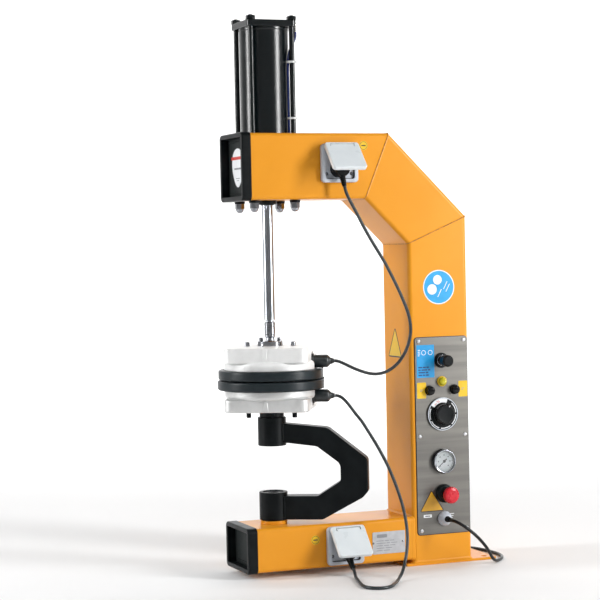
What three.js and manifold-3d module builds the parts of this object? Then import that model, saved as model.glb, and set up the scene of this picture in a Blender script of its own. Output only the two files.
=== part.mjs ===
// Pneumatic spot-vulcanising press: two heated platens clamped by an air cylinder on a C-frame.
// Millimetres, +Z up. The machine group's own zero is the column's front face, mid-width, on the floor.
import * as THREE from 'three';
import { mergeVertices } from 'three/addons/utils/BufferGeometryUtils.js';
import Module from 'manifold-3d';

const wasm = await Module();
wasm.setup();

// ---------------------------------------------------------------- driving dimensions
const GAP = 0.3; // running and seating gap between separate pieces
const SIDES = { large: 32, medium: 20, small: 14, tiny: 8 }; // facets of a round piece

const TUBE = 150; // column and upper arm, square tube
const HALF = TUBE / 2;
const WALL = 5;
const LOWER_ARM_HEIGHT = 100;
const LOWER_ARM_Z = 14; // clearance under the lower arm
const BASE_THICKNESS = 6;
const BASE_FRONT = -18;
const BASE_BACK = 213;
const ANCHOR = { x: 190, y: 55, r: 7 }; // bolt holes behind the column
const UPPER_ARM_Z = 852; // underside of the upper arm
const UPPER_ARM_TOP = UPPER_ARM_Z + TUBE;
const KNEE = 105; // leg of the inner 45 degree corner
const MITRE = TUBE * Math.tan(Math.PI / 8);

const CAP_WALL = 2; // how far an end cap stands proud of its tube
const CAP_MOUTH = 9; // the mouth's edge, inward from the tube's outside
// Front edge, seat on the tube's end, and back edge.
const UPPER_CAP = { front: -402, seat: -383, back: -380 };
const LOWER_CAP = { front: -407, seat: -387, back: -384 };

const RAM_X = -316; // shared axis of cylinder, platens and gooseneck bosses
const ROD_R = 12.5;
const BORE_R = 50;
const BARREL_R = 56;
const HEAD_SIZE = 118;
const HEAD_THICKNESS = 15;
const HEAD_CORNER = 10;
const REAR_HEAD_Z = 1242;
const FRONT_HEAD_Z = 857.3;
const TIE_SPACING = 49;
const TIE_R = 6;
const TIE_NUT_R = 11;
const BUSH_R = 21.5;

const SWING = THREE.MathUtils.degToRad(-28); // platens and gooseneck turned towards the operator
const MEETING_Z = 445; // plane where the platens meet
const PLATEN_GAP = 1.2; // half the daylight left between the closed platens
const RING_HEIGHT = 21.8;
const UPPER_RING_R = 120;
const LOWER_RING_R = 122;
const HEATER_R = 98.2;
const SKIRT_HEIGHT = 21; // round part of a housing, next to the ring
const SKIRT_R = 106;
const BOX_HEIGHT = { upper: 31, lower: 26 }; // square part of a housing
const HOUSING_HALF = 96;
const HOUSING_CORNER = 19;
const SKIRT_TOP = PLATEN_GAP + RING_HEIGHT + SKIRT_HEIGHT; // from the meeting plane
const GLAND_OFFSET = 39.5; // gland centre above or below the meeting plane
const GLAND_TIP = 146; // gland tip from the ram axis

const NECK_THICKNESS = 40;
const BOSS_R = 32.5;
const LOWER_BOSS = [123, 187];
const UPPER_BOSS = [293, 358];
const PIN_R = 15;
const PIN_BORE_R = 15.8;
const COLLAR_R = 31;

const PANEL = { x0: 11, x1: 145, z0: 71, z1: 529, thickness: 2, corner: 7, lap: 19 };
const CONTROL_X = 78;
const VALVE_Z = 475;
const LAMP_Z = 426;
const FUSE_Z = 406;
const FUSE_OFFSET = 32;
const TIMER_Z = 350;
const GAUGE_Z = 240;
const NEEDLE_REST = THREE.MathUtils.degToRad(220); // the needle at no pressure, from the dial's right
const ESTOP_Z = 165;
const GLAND_Z = 106;
const PANEL_FACE = -(HALF + GAP + PANEL.thickness);

const SOCKET = { width: 90, height: 88, depth: 12, corner: 9, well: 72, hole: 30 };
const UPPER_SOCKET = [-170, 933];
const LOWER_SOCKET = [-174, 63.5];
const LID = { width: 82, length: 78, depth: 11, wall: 2.5, open: THREE.MathUtils.degToRad(43) };
const PLUG_R = 19;
const PLUG_DROP = 13; // plug axis below the socket's middle
const PLUG_LENGTH = 24.7; // plug proud of the socket

const LEAD_D = 7.5;
const HOSE_D = 6;
const COIL_X = 120;
const COIL_Y = 165;
const COIL_TURN_R = [34, 49]; // innermost and outermost turn, to the cord's centre
const COIL_LAYERS = 3;

// ---------------------------------------------------------------- materials
const finish = (color, roughness, metalness) => (
  new THREE.MeshStandardMaterial({ color, roughness, metalness })
);
const orange = finish(0xf0961e, 0.45, 0.1);
const blackPaint = finish(0x16181a, 0.4, 0.3);
const blackPlastic = finish(0x1a1c1e, 0.55, 0.0);
const zinc = finish(0xb9bcc0, 0.35, 1.0);
const chrome = finish(0xd8dce0, 0.12, 1.0);
const castAluminium = finish(0xc9cac8, 0.5, 0.9);
const brushedSteel = finish(0x6c6a66, 0.4, 0.9);
const blackRubber = finish(0x202427, 0.7, 0.0);
const cableRubber = finish(0x23262a, 0.6, 0.0);
const greyPlastic = finish(0xdfe4ea, 0.4, 0.0);
const redPlastic = finish(0xc8102e, 0.35, 0.0);
const yellowLens = finish(0xd6cf1c, 0.2, 0.0);
const glass = finish(0xf2f6f8, 0.05, 0.0);
const blueHose = finish(0x1d3f8f, 0.4, 0.0);
const brass = finish(0xb08d3e, 0.35, 1.0);

// ---------------------------------------------------------------- geometry helpers
function signedVolume(position, index) {
  const [a, b, c] = [new THREE.Vector3(), new THREE.Vector3(), new THREE.Vector3()];
  let volume = 0;
  for (let i = 0; i < index.length; i += 3) {
    a.fromBufferAttribute(position, index[i]);
    b.fromBufferAttribute(position, index[i + 1]);
    c.fromBufferAttribute(position, index[i + 2]);
    volume += a.dot(b.cross(c)) / 6;
  }
  return volume;
}

// Positions only, shared corners merged, no zero-area triangles, faces pointing out.
function closed(geometry) {
  const bare = geometry.clone();
  Object.keys(bare.attributes).forEach((name) => name !== 'position' && bare.deleteAttribute(name));
  const welded = mergeVertices(bare, 1e-4);
  const kept = [];
  for (let i = 0; i < welded.index.count; i += 3) {
    const [a, b, c] = [0, 1, 2].map((k) => welded.index.getX(i + k));
    if (a !== b && b !== c && c !== a) kept.push(a, b, c);
  }
  if (signedVolume(welded.attributes.position, kept) < 0) kept.reverse();
  welded.setIndex(kept);
  return welded;
}

function toSolid(geometry) {
  const mesh = closed(geometry);
  return new wasm.Manifold(new wasm.Mesh({
    numProp: 3,
    vertProperties: new Float32Array(mesh.attributes.position.array),
    triVerts: new Uint32Array(mesh.index.array),
  }));
}

function fromSolid(solid) {
  const mesh = solid.getMesh();
  const geometry = new THREE.BufferGeometry();
  geometry.setAttribute('position', new THREE.BufferAttribute(new Float32Array(mesh.vertProperties), 3));
  geometry.setIndex(new THREE.BufferAttribute(new Uint32Array(mesh.triVerts), 1));
  return geometry;
}

const cut = (base, ...tools) => fromSolid(tools.reduce((s, t) => s.subtract(toSolid(t)), toSolid(base)));
const join = (base, ...more) => fromSolid(more.reduce((s, t) => s.add(toSolid(t)), toSolid(base)));

const box = (x0, x1, y0, y1, z0, z1) => new THREE.BoxGeometry(x1 - x0, y1 - y0, z1 - z0)
  .translate((x0 + x1) / 2, (y0 + y1) / 2, (z0 + z1) / 2);

// Upright cylinder or cone from z0 to z1.
function rod(r, z0, z1, { x = 0, y = 0, sides = SIDES.small, rTop = r } = {}) {
  const upright = new THREE.CylinderGeometry(rTop, r, z1 - z0, sides).rotateX(Math.PI / 2);
  return upright.translate(x, y, (z0 + z1) / 2);
}

// Solid of revolution about Z. The profile, a list of [radius, z], starts and ends on the axis or closes.
const turned = (profile, sides = SIDES.small) => closed(
  new THREE.LatheGeometry(profile.map(([r, z]) => new THREE.Vector2(r, z)), sides).rotateX(Math.PI / 2),
);

// Polygon whose corners carry a radius: [x, y, radius].
function roundedShape(corners) {
  const shape = new THREE.Shape();
  const at = (i) => new THREE.Vector2(...corners[(i + corners.length) % corners.length].slice(0, 2));
  corners.forEach(([, , radius = 0], i) => {
    const corner = at(i);
    const back = at(i - 1).sub(corner).normalize();
    const ahead = at(i + 1).sub(corner).normalize();
    const half = Math.acos(back.dot(ahead)) / 2;
    const start = back.clone().multiplyScalar(radius / Math.tan(half)).add(corner);
    if (i === 0) shape.moveTo(start.x, start.y);
    else shape.lineTo(start.x, start.y);
    if (radius === 0) return;
    const bisector = back.clone().add(ahead).normalize();
    const centre = bisector.multiplyScalar(radius / Math.sin(half)).add(corner);
    const end = ahead.clone().multiplyScalar(radius / Math.tan(half)).add(corner);
    const from = start.sub(centre).angle();
    const to = end.sub(centre).angle();
    shape.absarc(centre.x, centre.y, radius, from, to, back.cross(ahead) > 0);
  });
  shape.closePath();
  return shape;
}

const rectangle = (x0, x1, y0, y1, r = 0) => (
  roundedShape([[x0, y0, r], [x1, y0, r], [x1, y1, r], [x0, y1, r]])
);

const extruded = (shape, depth, curveSegments = 2) => new THREE.ExtrudeGeometry(
  shape,
  { depth, bevelEnabled: false, curveSegments, steps: 1 },
);

// Outline in the X-Z plane, pushed out along Y from y0 to y1.
const sideways = (shape, y0, y1, curveSegments = 2) => extruded(shape, y1 - y0, curveSegments)
  .rotateX(Math.PI / 2)
  .translate(0, y1, 0);

// Plain tube of round section along a smooth route.
function tubeAlong(route, diameter, steps, sides = 8) {
  const section = new THREE.Shape(Array.from({ length: sides }, (_, i) => {
    const angle = (2 * Math.PI * i) / sides;
    return new THREE.Vector2(Math.cos(angle), Math.sin(angle)).multiplyScalar(diameter / 2);
  }));
  const points = route.map((p) => new THREE.Vector3(...p));
  const curve = new THREE.CatmullRomCurve3(points, false, 'centripetal');
  return new THREE.ExtrudeGeometry(section, { extrudePath: curve, steps, bevelEnabled: false });
}

const machine = new THREE.Group();

function add(name, geometry, material, parent = machine) {
  const mesh = new THREE.Mesh(closed(geometry), material);
  mesh.name = name;
  parent.add(mesh);
  return mesh;
}

function groupAt(x, y, z, parent = machine) {
  const group = new THREE.Group();
  group.position.set(x, y, z);
  parent.add(group);
  return group;
}

// A group whose +Z points out of the operator's side of the frame.
function controlAt(x, z, face = PANEL_FACE) {
  const group = groupAt(x, face, z);
  group.rotation.x = Math.PI / 2;
  return group;
}

// ---------------------------------------------------------------- frame
function outlineOfFrame(inset) {
  const slant = inset * (Math.SQRT2 - 1); // shift of a 45 degree corner
  const run = inset ? 20 : 0; // the hollow runs out through the open tube ends
  const upperFront = UPPER_CAP.seat + GAP - run;
  const lowerFront = LOWER_CAP.seat + GAP - run;
  const foot = inset ? 0 : BASE_THICKNESS + GAP;
  const lowerTop = LOWER_ARM_Z + LOWER_ARM_HEIGHT;
  return roundedShape([
    [lowerFront, LOWER_ARM_Z + inset],
    [inset, LOWER_ARM_Z + inset],
    [inset, foot],
    [TUBE - inset, foot],
    [TUBE - inset, UPPER_ARM_Z - KNEE + MITRE - slant],
    [MITRE - KNEE - slant, UPPER_ARM_TOP - inset],
    [upperFront, UPPER_ARM_TOP - inset],
    [upperFront, UPPER_ARM_Z + inset],
    [slant - KNEE, UPPER_ARM_Z + inset],
    [inset, UPPER_ARM_Z - KNEE + slant],
    [inset, lowerTop - inset],
    [lowerFront, lowerTop - inset],
  ]);
}

// Places of the four tie rods and of the air hose, from the ram's axis.
const tiePlaces = [[-1, -1], [1, -1], [1, 1], [-1, 1]].map(([i, j]) => [i * TIE_SPACING, j * TIE_SPACING]);
const hosePlace = [40, -45.8];
const hole = (r, z0, z1, [x, y], sides) => rod(r, z0, z1, { x: RAM_X + x, y, sides });

function buildFrame() {
  const { x0, x1, z0, z1, lap } = PANEL;
  const shell = sideways(outlineOfFrame(0), -HALF, HALF);
  const hollow = sideways(outlineOfFrame(WALL), WALL - HALF, HALF - WALL);
  const wallHole = (r, x, z) => rod(r, 0, 20).rotateX(Math.PI / 2).translate(x, -HALF + 10, z);
  add('frame_weldment', cut(
    shell,
    hollow,
    hole(BARREL_R + 1, UPPER_ARM_TOP - 20, UPPER_ARM_TOP + 5, [0, 0], SIDES.large),
    hole(HOSE_D / 2 + 1, UPPER_ARM_TOP - 20, UPPER_ARM_TOP + 5, hosePlace, SIDES.tiny),
    hole(BUSH_R + 0.5, UPPER_ARM_Z - 5, UPPER_ARM_Z + 10, [0, 0]),
    ...tiePlaces.map((place) => hole(TIE_R + 0.5, UPPER_ARM_Z - 5, UPPER_ARM_TOP + 5, place, SIDES.tiny)),
    box(x0 + lap, x1 - lap, -HALF - 5, 2 - HALF + WALL, z0 + lap, z1 - lap),
    wallHole(SOCKET.hole, UPPER_SOCKET[0], UPPER_SOCKET[1] - PLUG_DROP),
    wallHole(SOCKET.hole, LOWER_SOCKET[0], LOWER_SOCKET[1] - PLUG_DROP),
    hole(PIN_R + GAP, LOWER_ARM_HEIGHT, LOWER_ARM_Z + LOWER_ARM_HEIGHT + 5, [0, 0]),
  ), orange);
  const anchors = [-ANCHOR.y, ANCHOR.y].map((y) => (
    rod(ANCHOR.r, -1, BASE_THICKNESS + 1, { x: ANCHOR.x, y, sides: SIDES.tiny })
  ));
  add('base_plate', cut(box(BASE_FRONT, BASE_BACK, -HALF, HALF, 0, BASE_THICKNESS), ...anchors), orange);
}

// Moulded cap over a tube end: a deep frame in front, a sunk panel that closes the tube, and a groove
// behind it for the tube's wall.
function endCap(name, { front, seat, back }, z0, z1) {
  const around = (x0, x1, grow) => box(x0, x1, -HALF - grow, HALF + grow, z0 - grow, z1 + grow);
  const tubeWall = cut(around(seat, back + 1, GAP), around(seat - 1, back + 2, -WALL - GAP));
  const mouth = around(front - 1, seat, -CAP_MOUTH);
  add(name, cut(around(front, back, CAP_WALL), tubeWall, mouth), blackPlastic);
}

// ---------------------------------------------------------------- air cylinder
function buildCylinder() {
  const centre = groupAt(RAM_X, 0, 0);
  const tubeBottom = FRONT_HEAD_Z + HEAD_THICKNESS + GAP;
  const tubeTop = REAR_HEAD_Z - GAP;
  const half = HEAD_SIZE / 2;
  const square = rectangle(-half, half, -half, half, HEAD_CORNER);
  const head = (z0) => extruded(square, HEAD_THICKNESS).translate(0, 0, z0);
  const tieHoles = (z0) => tiePlaces.map(([x, y]) => (
    rod(TIE_R + 0.4, z0 - 1, z0 + HEAD_THICKNESS + 1, { x, y, sides: SIDES.tiny })
  ));

  add('cylinder_tube', cut(
    rod(BARREL_R, tubeBottom, tubeTop, { sides: SIDES.large }),
    rod(BORE_R, tubeBottom - 1, tubeTop + 1, { sides: SIDES.large }),
  ), blackPaint, centre);
  add('cylinder_rear_cap', cut(head(REAR_HEAD_Z), ...tieHoles(REAR_HEAD_Z)), blackPaint, centre);
  add('cylinder_front_cap', cut(
    head(FRONT_HEAD_Z),
    ...tieHoles(FRONT_HEAD_Z),
    rod(BUSH_R - 4 + GAP, FRONT_HEAD_Z - 1, FRONT_HEAD_Z + HEAD_THICKNESS + 1),
  ), blackPaint, centre);

  const bushTop = FRONT_HEAD_Z + HEAD_THICKNESS;
  add('rod_bush', turned([
    [ROD_R + GAP, 843], [BUSH_R - 2, 843], [BUSH_R, 845], [BUSH_R, FRONT_HEAD_Z - GAP],
    [BUSH_R - 4, FRONT_HEAD_Z - GAP], [BUSH_R - 4, bushTop], [ROD_R + GAP, bushTop], [ROD_R + GAP, 843],
  ]), blackPlastic, centre);

  tiePlaces.forEach(([x, y], i) => {
    const shank = rod(TIE_R, 829, REAR_HEAD_Z + HEAD_THICKNESS + 1, { sides: SIDES.tiny });
    const headZ = REAR_HEAD_Z + HEAD_THICKNESS + GAP;
    const topHead = rod(TIE_NUT_R, headZ, 1266, { sides: 6, rTop: TIE_NUT_R - 0.5 });
    const tip = rod(TIE_R - 0.5, 1265, 1268, { sides: SIDES.tiny, rTop: TIE_R - 1.5 });
    add(`tie_rod_${i + 1}`, join(shank, topHead, tip).translate(x, y, 0), zinc, centre);
    const nut = join(
      rod(12, 846, UPPER_ARM_Z - GAP),
      rod(TIE_NUT_R, 833, 846.5, { sides: 6 }),
      turned([[0, 825], [4.5, 826], [8, 829], [9.2, 833.5], [0, 833.5]], SIDES.tiny),
    );
    const bored = cut(nut, rod(TIE_R + GAP, 828.5, UPPER_ARM_Z + 1, { sides: SIDES.tiny }));
    add(`tie_rod_nut_${i + 1}`, bored.translate(x, y, 0), zinc, centre);
  });

  const port = { x: half + GAP, y: -25, z: REAR_HEAD_Z + HEAD_THICKNESS / 2 };
  const elbow = join(
    rod(5.5, 0, 8, { sides: SIDES.tiny }).rotateY(Math.PI / 2).translate(port.x, port.y, port.z),
    rod(4.5, port.z - 16, port.z + 5, { x: port.x + 8, y: port.y, sides: SIDES.tiny }),
  );
  add('air_elbow', elbow, brass, centre);
  add('air_hose', tubeAlong([
    [port.x + 8, port.y, port.z - 16 - GAP],
    [port.x + 7.5, port.y - 1, 1222],
    [58, -31, 1206],
    [49, -37, 1190],
    [42.5, -42.5, 1172],
    [40, -45.8, 1150],
    [40, -45.8, 1100],
    [40, -45.8, 1050],
    [40, -45.8, 990],
  ], HOSE_D, 20), blueHose, centre);
}

// ---------------------------------------------------------------- ram: piston, rod and upper platen
function buildRam() {
  const centre = groupAt(RAM_X, 0, 0);
  const pistonZ = 880;
  add('piston', cut(
    turned([
      [0, pistonZ], [BORE_R - 1.5, pistonZ], [BORE_R - 0.4, pistonZ + 1], [BORE_R - 0.4, pistonZ + 16],
      [BORE_R - 5, pistonZ + 16], [BORE_R - 5, pistonZ + 24], [BORE_R - 0.4, pistonZ + 24],
      [BORE_R - 0.4, pistonZ + 39], [BORE_R - 1.5, pistonZ + 40], [0, pistonZ + 40],
    ], SIDES.medium),
    rod(8 + GAP, pistonZ - 1, pistonZ + 41),
  ), castAluminium, centre);
  add('piston_rod', turned([
    [0, 576.6], [8.5, 576.6], [8.5, 578.5], [ROD_R, 579.5], [ROD_R, pistonZ - GAP],
    [8, pistonZ - GAP], [8, pistonZ + 46], [6.5, pistonZ + 48], [0, pistonZ + 48],
  ]), chrome, centre);
  const flangeZ = MEETING_Z + SKIRT_TOP + BOX_HEIGHT.upper + GAP;
  add('rod_end', turned([
    [0, flangeZ], [28, flangeZ], [29, flangeZ + 1], [29, flangeZ + 11], [28, flangeZ + 12],
    [8, flangeZ + 12.5], [6.5, flangeZ + 15], [7.5, flangeZ + 22],
    [ROD_R - 1, flangeZ + 26], [ROD_R, flangeZ + 28],
    [ROD_R, 573], [10, 575], [10, 576.3], [0, 576.3],
  ]), zinc, centre);
}

// One platen: housing, insulating ring and heater plate, built upwards from the meeting plane.
function buildPlaten(prefix, side, ringR) {
  const swivel = groupAt(RAM_X, 0, MEETING_Z);
  swivel.rotation.z = SWING;
  const flip = (geometry) => (side > 0 ? geometry : geometry.scale(1, 1, -1));
  const ringTop = PLATEN_GAP + RING_HEIGHT;
  const top = SKIRT_TOP + BOX_HEIGHT[prefix];
  const half = HOUSING_HALF;

  const block = extruded(rectangle(-half, half, -half, half, HOUSING_CORNER), top - SKIRT_TOP + 2, 3)
    .translate(0, 0, SKIRT_TOP - 2);
  const skirt = rod(SKIRT_R, ringTop + GAP, SKIRT_TOP, { sides: SIDES.large, rTop: SKIRT_R - 2 });
  const housing = cut(
    join(block, skirt),
    rod(90, ringTop - 1, top - 10, { sides: SIDES.medium }),
    box(half, half + 20, -30, 30, ringTop - 1, SKIRT_TOP + 1),
    rod(9, 80, 110).rotateY(Math.PI / 2).translate(0, 0, GLAND_OFFSET),
  );
  add(`${prefix}_housing`, flip(housing), castAluminium, swivel);

  add(`${prefix}_heater_ring`, flip(turned([
    [HEATER_R + GAP, PLATEN_GAP], [ringR - 2.5, PLATEN_GAP], [ringR, PLATEN_GAP + 2.5],
    [ringR, ringTop - 4], [ringR - 4, ringTop], [HEATER_R + GAP, ringTop], [HEATER_R + GAP, PLATEN_GAP],
  ], SIDES.large)), blackRubber, swivel);

  add(`${prefix}_heater_plate`, flip(turned([
    [0, PLATEN_GAP], [HEATER_R, PLATEN_GAP], [HEATER_R, 14],
    [84, 14], [84, 9], [60, 9], [60, 14], [0, 14],
  ], SIDES.large)), castAluminium, swivel);

  const gland = turned([
    [0, half - 12], [8.5, half - 12], [8.5, half + GAP], [16, half + GAP], [16, half + 4.5],
    [14, half + 5], [14.5, half + 8], [14.5, half + 32], [12, half + 38], [7, half + 40],
    [6, GLAND_TIP - 6], [5, GLAND_TIP], [0, GLAND_TIP],
  ]).rotateY(Math.PI / 2).translate(0, 0, GLAND_OFFSET);
  add(`${prefix}_gland`, flip(gland), blackPlastic, swivel);
}

// ---------------------------------------------------------------- gooseneck
function buildGooseneck() {
  const swivel = groupAt(RAM_X, 0, 0);
  swivel.rotation.z = SWING;
  const plate = roundedShape([
    [0, 124], [115, 124, 20], [207, 174, 22], [219.5, 188, 8], [219.5, 262, 16],
    [129, 334, 26], [0, 347],
    [0, 304], [104, 291, 16], [157, 251, 20], [157, 212, 10], [104, 178, 10], [0, 178],
  ]);
  const arm = join(
    sideways(plate, -NECK_THICKNESS / 2, NECK_THICKNESS / 2),
    rod(BOSS_R, ...LOWER_BOSS, { sides: SIDES.medium }),
    rod(BOSS_R, ...UPPER_BOSS, { sides: SIDES.medium }),
  );
  add('gooseneck', cut(
    arm,
    rod(PIN_BORE_R, LOWER_BOSS[0] - 1, 176),
    rod(PIN_BORE_R, UPPER_BOSS[0] - 1, UPPER_BOSS[1] + 1),
  ), blackPaint, swivel);

  const housingBottom = MEETING_Z - SKIRT_TOP - BOX_HEIGHT.lower;
  add('lower_platen_post', join(
    rod(28, UPPER_BOSS[1] + GAP, housingBottom - GAP, { sides: SIDES.medium }),
    rod(PIN_R, UPPER_BOSS[0] + 3, UPPER_BOSS[1] + 2),
  ), blackPaint, swivel);

  const armTop = LOWER_ARM_Z + LOWER_ARM_HEIGHT;
  const centre = groupAt(RAM_X, 0, 0);
  add('pivot_collar', turned([
    [PIN_R + GAP, armTop + GAP], [COLLAR_R, armTop + GAP],
    [COLLAR_R, armTop + 7], [COLLAR_R - 1.5, armTop + 8.4],
    [PIN_R + GAP, armTop + 8.4], [PIN_R + GAP, armTop + GAP],
  ]), orange, centre);
  add('pivot_pin', turned([
    [0, 103], [PIN_R - 1, 103], [PIN_R, 104], [PIN_R, 173], [PIN_R - 2, 175], [0, 175],
  ]), zinc, centre);
}

// ---------------------------------------------------------------- control panel
function buildPanel() {
  const outline = rectangle(PANEL.x0, PANEL.x1, PANEL.z0, PANEL.z1, PANEL.corner);
  const plate = sideways(outline, PANEL_FACE, -HALF - GAP);
  const panelHole = (r, x, z) => rod(r, -5, 5).rotateX(Math.PI / 2).translate(x, PANEL_FACE + 1, z);
  add('control_panel', cut(
    plate,
    panelHole(11.8, CONTROL_X, VALVE_Z),
    panelHole(8.8, CONTROL_X, LAMP_Z),
    panelHole(8.8, CONTROL_X - FUSE_OFFSET, FUSE_Z),
    panelHole(8.8, CONTROL_X + FUSE_OFFSET, FUSE_Z),
    panelHole(17, CONTROL_X, TIMER_Z),
    panelHole(26.6, CONTROL_X, GAUGE_Z),
    panelHole(11.8, CONTROL_X, ESTOP_Z),
    panelHole(10.9, CONTROL_X + 1, GLAND_Z),
  ), brushedSteel);

  const back = -PANEL.thickness - GAP;
  const valve = controlAt(CONTROL_X, VALVE_Z);
  add('valve_body', turned([
    [0, -55], [17, -55], [17, back], [11, back], [11, GAP],
    [16, GAP], [16, 4], [14, 5.5], [4, 5.5], [4, 24], [0, 24],
  ]), zinc, valve);
  add('valve_knob', cut(
    turned([[0, 6], [9, 6], [10, 14], [13, 17], [13.8, 20], [13.8, 36], [12.5, 38.5], [0, 39]]),
    rod(4 + GAP, 5, 25),
  ), blackPlastic, valve);

  const lamp = controlAt(CONTROL_X, LAMP_Z);
  add('pilot_lamp', turned([
    [0, -28], [8, -28], [8, GAP], [12, GAP], [12, 4],
    [10.5, 5.5], [10, 8], [7.5, 11.5], [4, 13], [0, 13.5],
  ]), yellowLens, lamp);

  [['left', -1], ['right', 1]].forEach(([name, side]) => {
    const fuse = controlAt(CONTROL_X + side * FUSE_OFFSET, FUSE_Z);
    add(`fuse_holder_${name}`, cut(
      turned([[0, -36], [8, -36], [8, GAP], [11.5, GAP], [11.5, 3], [0, 3]]),
      rod(5.3, -28, 4, { sides: SIDES.tiny }),
    ), blackPlastic, fuse);
    add(`fuse_cap_${name}`, turned([
      [0, -10], [4.9, -10], [4.9, 3.3], [11, 3.3], [11, 8], [9.5, 12], [6, 14], [0, 14.5],
    ]), blackPlastic, fuse);
  });

  const timer = controlAt(CONTROL_X, TIMER_Z);
  add('timer_body', join(
    turned([
      [0, back - 6], [16, back - 6], [16, GAP], [37, GAP], [38.3, 2], [37, 4.5], [0, 4.5],
    ], SIDES.medium),
    rod(3, 4, 15, { sides: SIDES.tiny }),
    box(-26, 26, -26, 26, -48, back - 5),
  ), blackPlastic, timer);
  add('timer_knob', cut(
    turned([[0, 5], [26, 5], [26.5, 7], [24.5, 9], [23.5, 17], [22, 19], [0, 19.5]], SIDES.medium),
    rod(3 + GAP, 4, 16, { sides: SIDES.tiny }),
  ), blackPlastic, timer);

  const gauge = controlAt(CONTROL_X, GAUGE_Z);
  add('gauge_case', turned([
    [0, -34], [25, -34], [25, GAP], [29, GAP], [29, 2],
    [27.5, 3], [27.5, 11.5], [26.5, 12.5], [24.6, 12.5],
    [24.6, 5], [2, 5], [1.2, 8], [0, 8],
  ], SIDES.medium), blackPlastic, gauge);
  const pointer = roundedShape([[-7, -1.2], [19, -0.35], [19, 0.35], [-7, 1.2]]);
  const needle = cut(
    join(rod(3.2, 6, 6.9, { sides: SIDES.tiny }), extruded(pointer, 0.9).translate(0, 0, 6)),
    rod(2.1, 5, 8, { sides: SIDES.tiny }),
  );
  add('gauge_needle', needle.rotateZ(NEEDLE_REST), blackPaint, gauge);
  add('gauge_lens', rod(24.3, 9.5, 11.3, { sides: SIDES.medium }), glass, gauge);

  const stop = controlAt(CONTROL_X, ESTOP_Z);
  add('estop_body', cut(
    join(
      turned([
        [0, -50], [11, -50], [11, GAP], [21.5, GAP], [21.5, 9], [20, 12], [16, 14], [15, 22], [0, 22],
      ]),
      box(-18, 18, -22, 22, -50, back),
    ),
    rod(8.5, -20, 23),
  ), blackPlastic, stop);
  add('estop_button', turned([
    [0, -10], [8, -10], [8, 28], [14, 30], [17, 34],
    [18.3, 38], [18.3, 42], [16.5, 46], [11, 48.5], [0, 49.4],
  ]), redPlastic, stop);

  const mains = controlAt(CONTROL_X + 1, GLAND_Z);
  add('mains_gland', turned([
    [0, -18], [10, -18], [10, GAP], [17.5, GAP], [17, 3], [10.5, 13],
    [8.5, 15], [7, 16], [6.2, 20], [4.8, 32], [0, 32],
  ]), greyPlastic, mains);
}

// ---------------------------------------------------------------- sockets, lids and plugs
// Strain relief of each plug, in the socket's frame (x, up, out): start, direction, length.
const UPPER_BOOT = { aside: -2, from: [-1.5, -11.3, 26.7], direction: [0.15, -0.968, 0.2], length: 30 };
const LOWER_BOOT = { aside: 0, from: [-1.1, -14.6, 32.6], direction: [-0.03, -0.63, 0.77], length: 30 };

function buildSocket(prefix, [x, z], boot) {
  const at = controlAt(x, z, -HALF - GAP);
  const { width, height, depth, corner, well } = SOCKET;
  const frameShape = rectangle(-width / 2, width / 2, -height / 2, height / 2, corner);
  add(`${prefix}_socket`, cut(
    join(
      extruded(frameShape, depth),
      rod(28, -30, 1).translate(0, -PLUG_DROP, 0),
    ),
    extruded(rectangle(-well / 2, well / 2, -height / 2 + 8, height / 2 - 8, 6), 20).translate(0, 0, 5),
    rod(PLUG_R + 1, -22, 6).translate(boot.aside, -PLUG_DROP, 0),
  ), greyPlastic, at);

  const hinge = groupAt(0, height / 2 - 5, depth + 4, at);
  hinge.rotation.x = -LID.open;
  const side = LID.width / 2;
  const inside = side - LID.wall;
  add(`${prefix}_socket_lid`, cut(
    extruded(rectangle(-side, side, -LID.length, 3, 7), LID.depth).translate(0, 0, -2),
    extruded(rectangle(-inside, inside, LID.wall - LID.length, -2, 5), LID.depth)
      .translate(0, 0, -2 - LID.wall),
  ), greyPlastic, hinge);

  const plug = groupAt(boot.aside, -PLUG_DROP, 0, at);
  const end = depth + PLUG_LENGTH;
  const shell = turned([
    [0, -18], [PLUG_R, -18], [PLUG_R, end - 7], [PLUG_R - 2, end - 2], [PLUG_R - 5, end], [0, end],
  ]);
  const direction = new THREE.Vector3(...boot.direction).normalize();
  const turn = new THREE.Quaternion().setFromUnitVectors(new THREE.Vector3(0, 0, 1), direction);
  const sleeve = turned([[0, 0], [8, 0], [6.5, 18], [5, boot.length], [0, boot.length]], SIDES.tiny)
    .applyQuaternion(turn)
    .translate(...boot.from);
  add(`${prefix}_plug`, join(shell, sleeve), blackPlastic, plug);
}

// ---------------------------------------------------------------- cords
const upperLeadRoute = [
  [-168.9, -108.1, 879.2],
  [-167.4, -109.6, 869.5],
  [-163, -110.8, 857.5],
  [-155, -112, 841],
  [-143, -114, 818],
  [-129, -116, 790],
  [-113, -118, 761],
  [-95, -120, 731],
  [-79, -121, 705],
  [-66, -121, 681],
  [-53, -121, 656],
  [-41, -120, 632],
  [-31, -119, 610],
  [-22, -117, 588],
  [-16.5, -115, 567],
  [-15, -113, 546],
  [-18, -110, 524],
  [-25, -107, 503],
  [-36, -104, 484],
  [-51, -101, 468],
  [-69, -98, 457],
  [-89, -96, 452],
  [-108, -93.5, 453],
  [-126, -91.5, 458],
  [-141, -88.5, 464],
  [-153.5, -85, 470],
  [-165, -80.5, 476.3],
  [-174, -75.8, 481.1],
  [-180.5, -72.1, 483.7],
  [-186.7, -68.75, 484.5],
];

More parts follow.
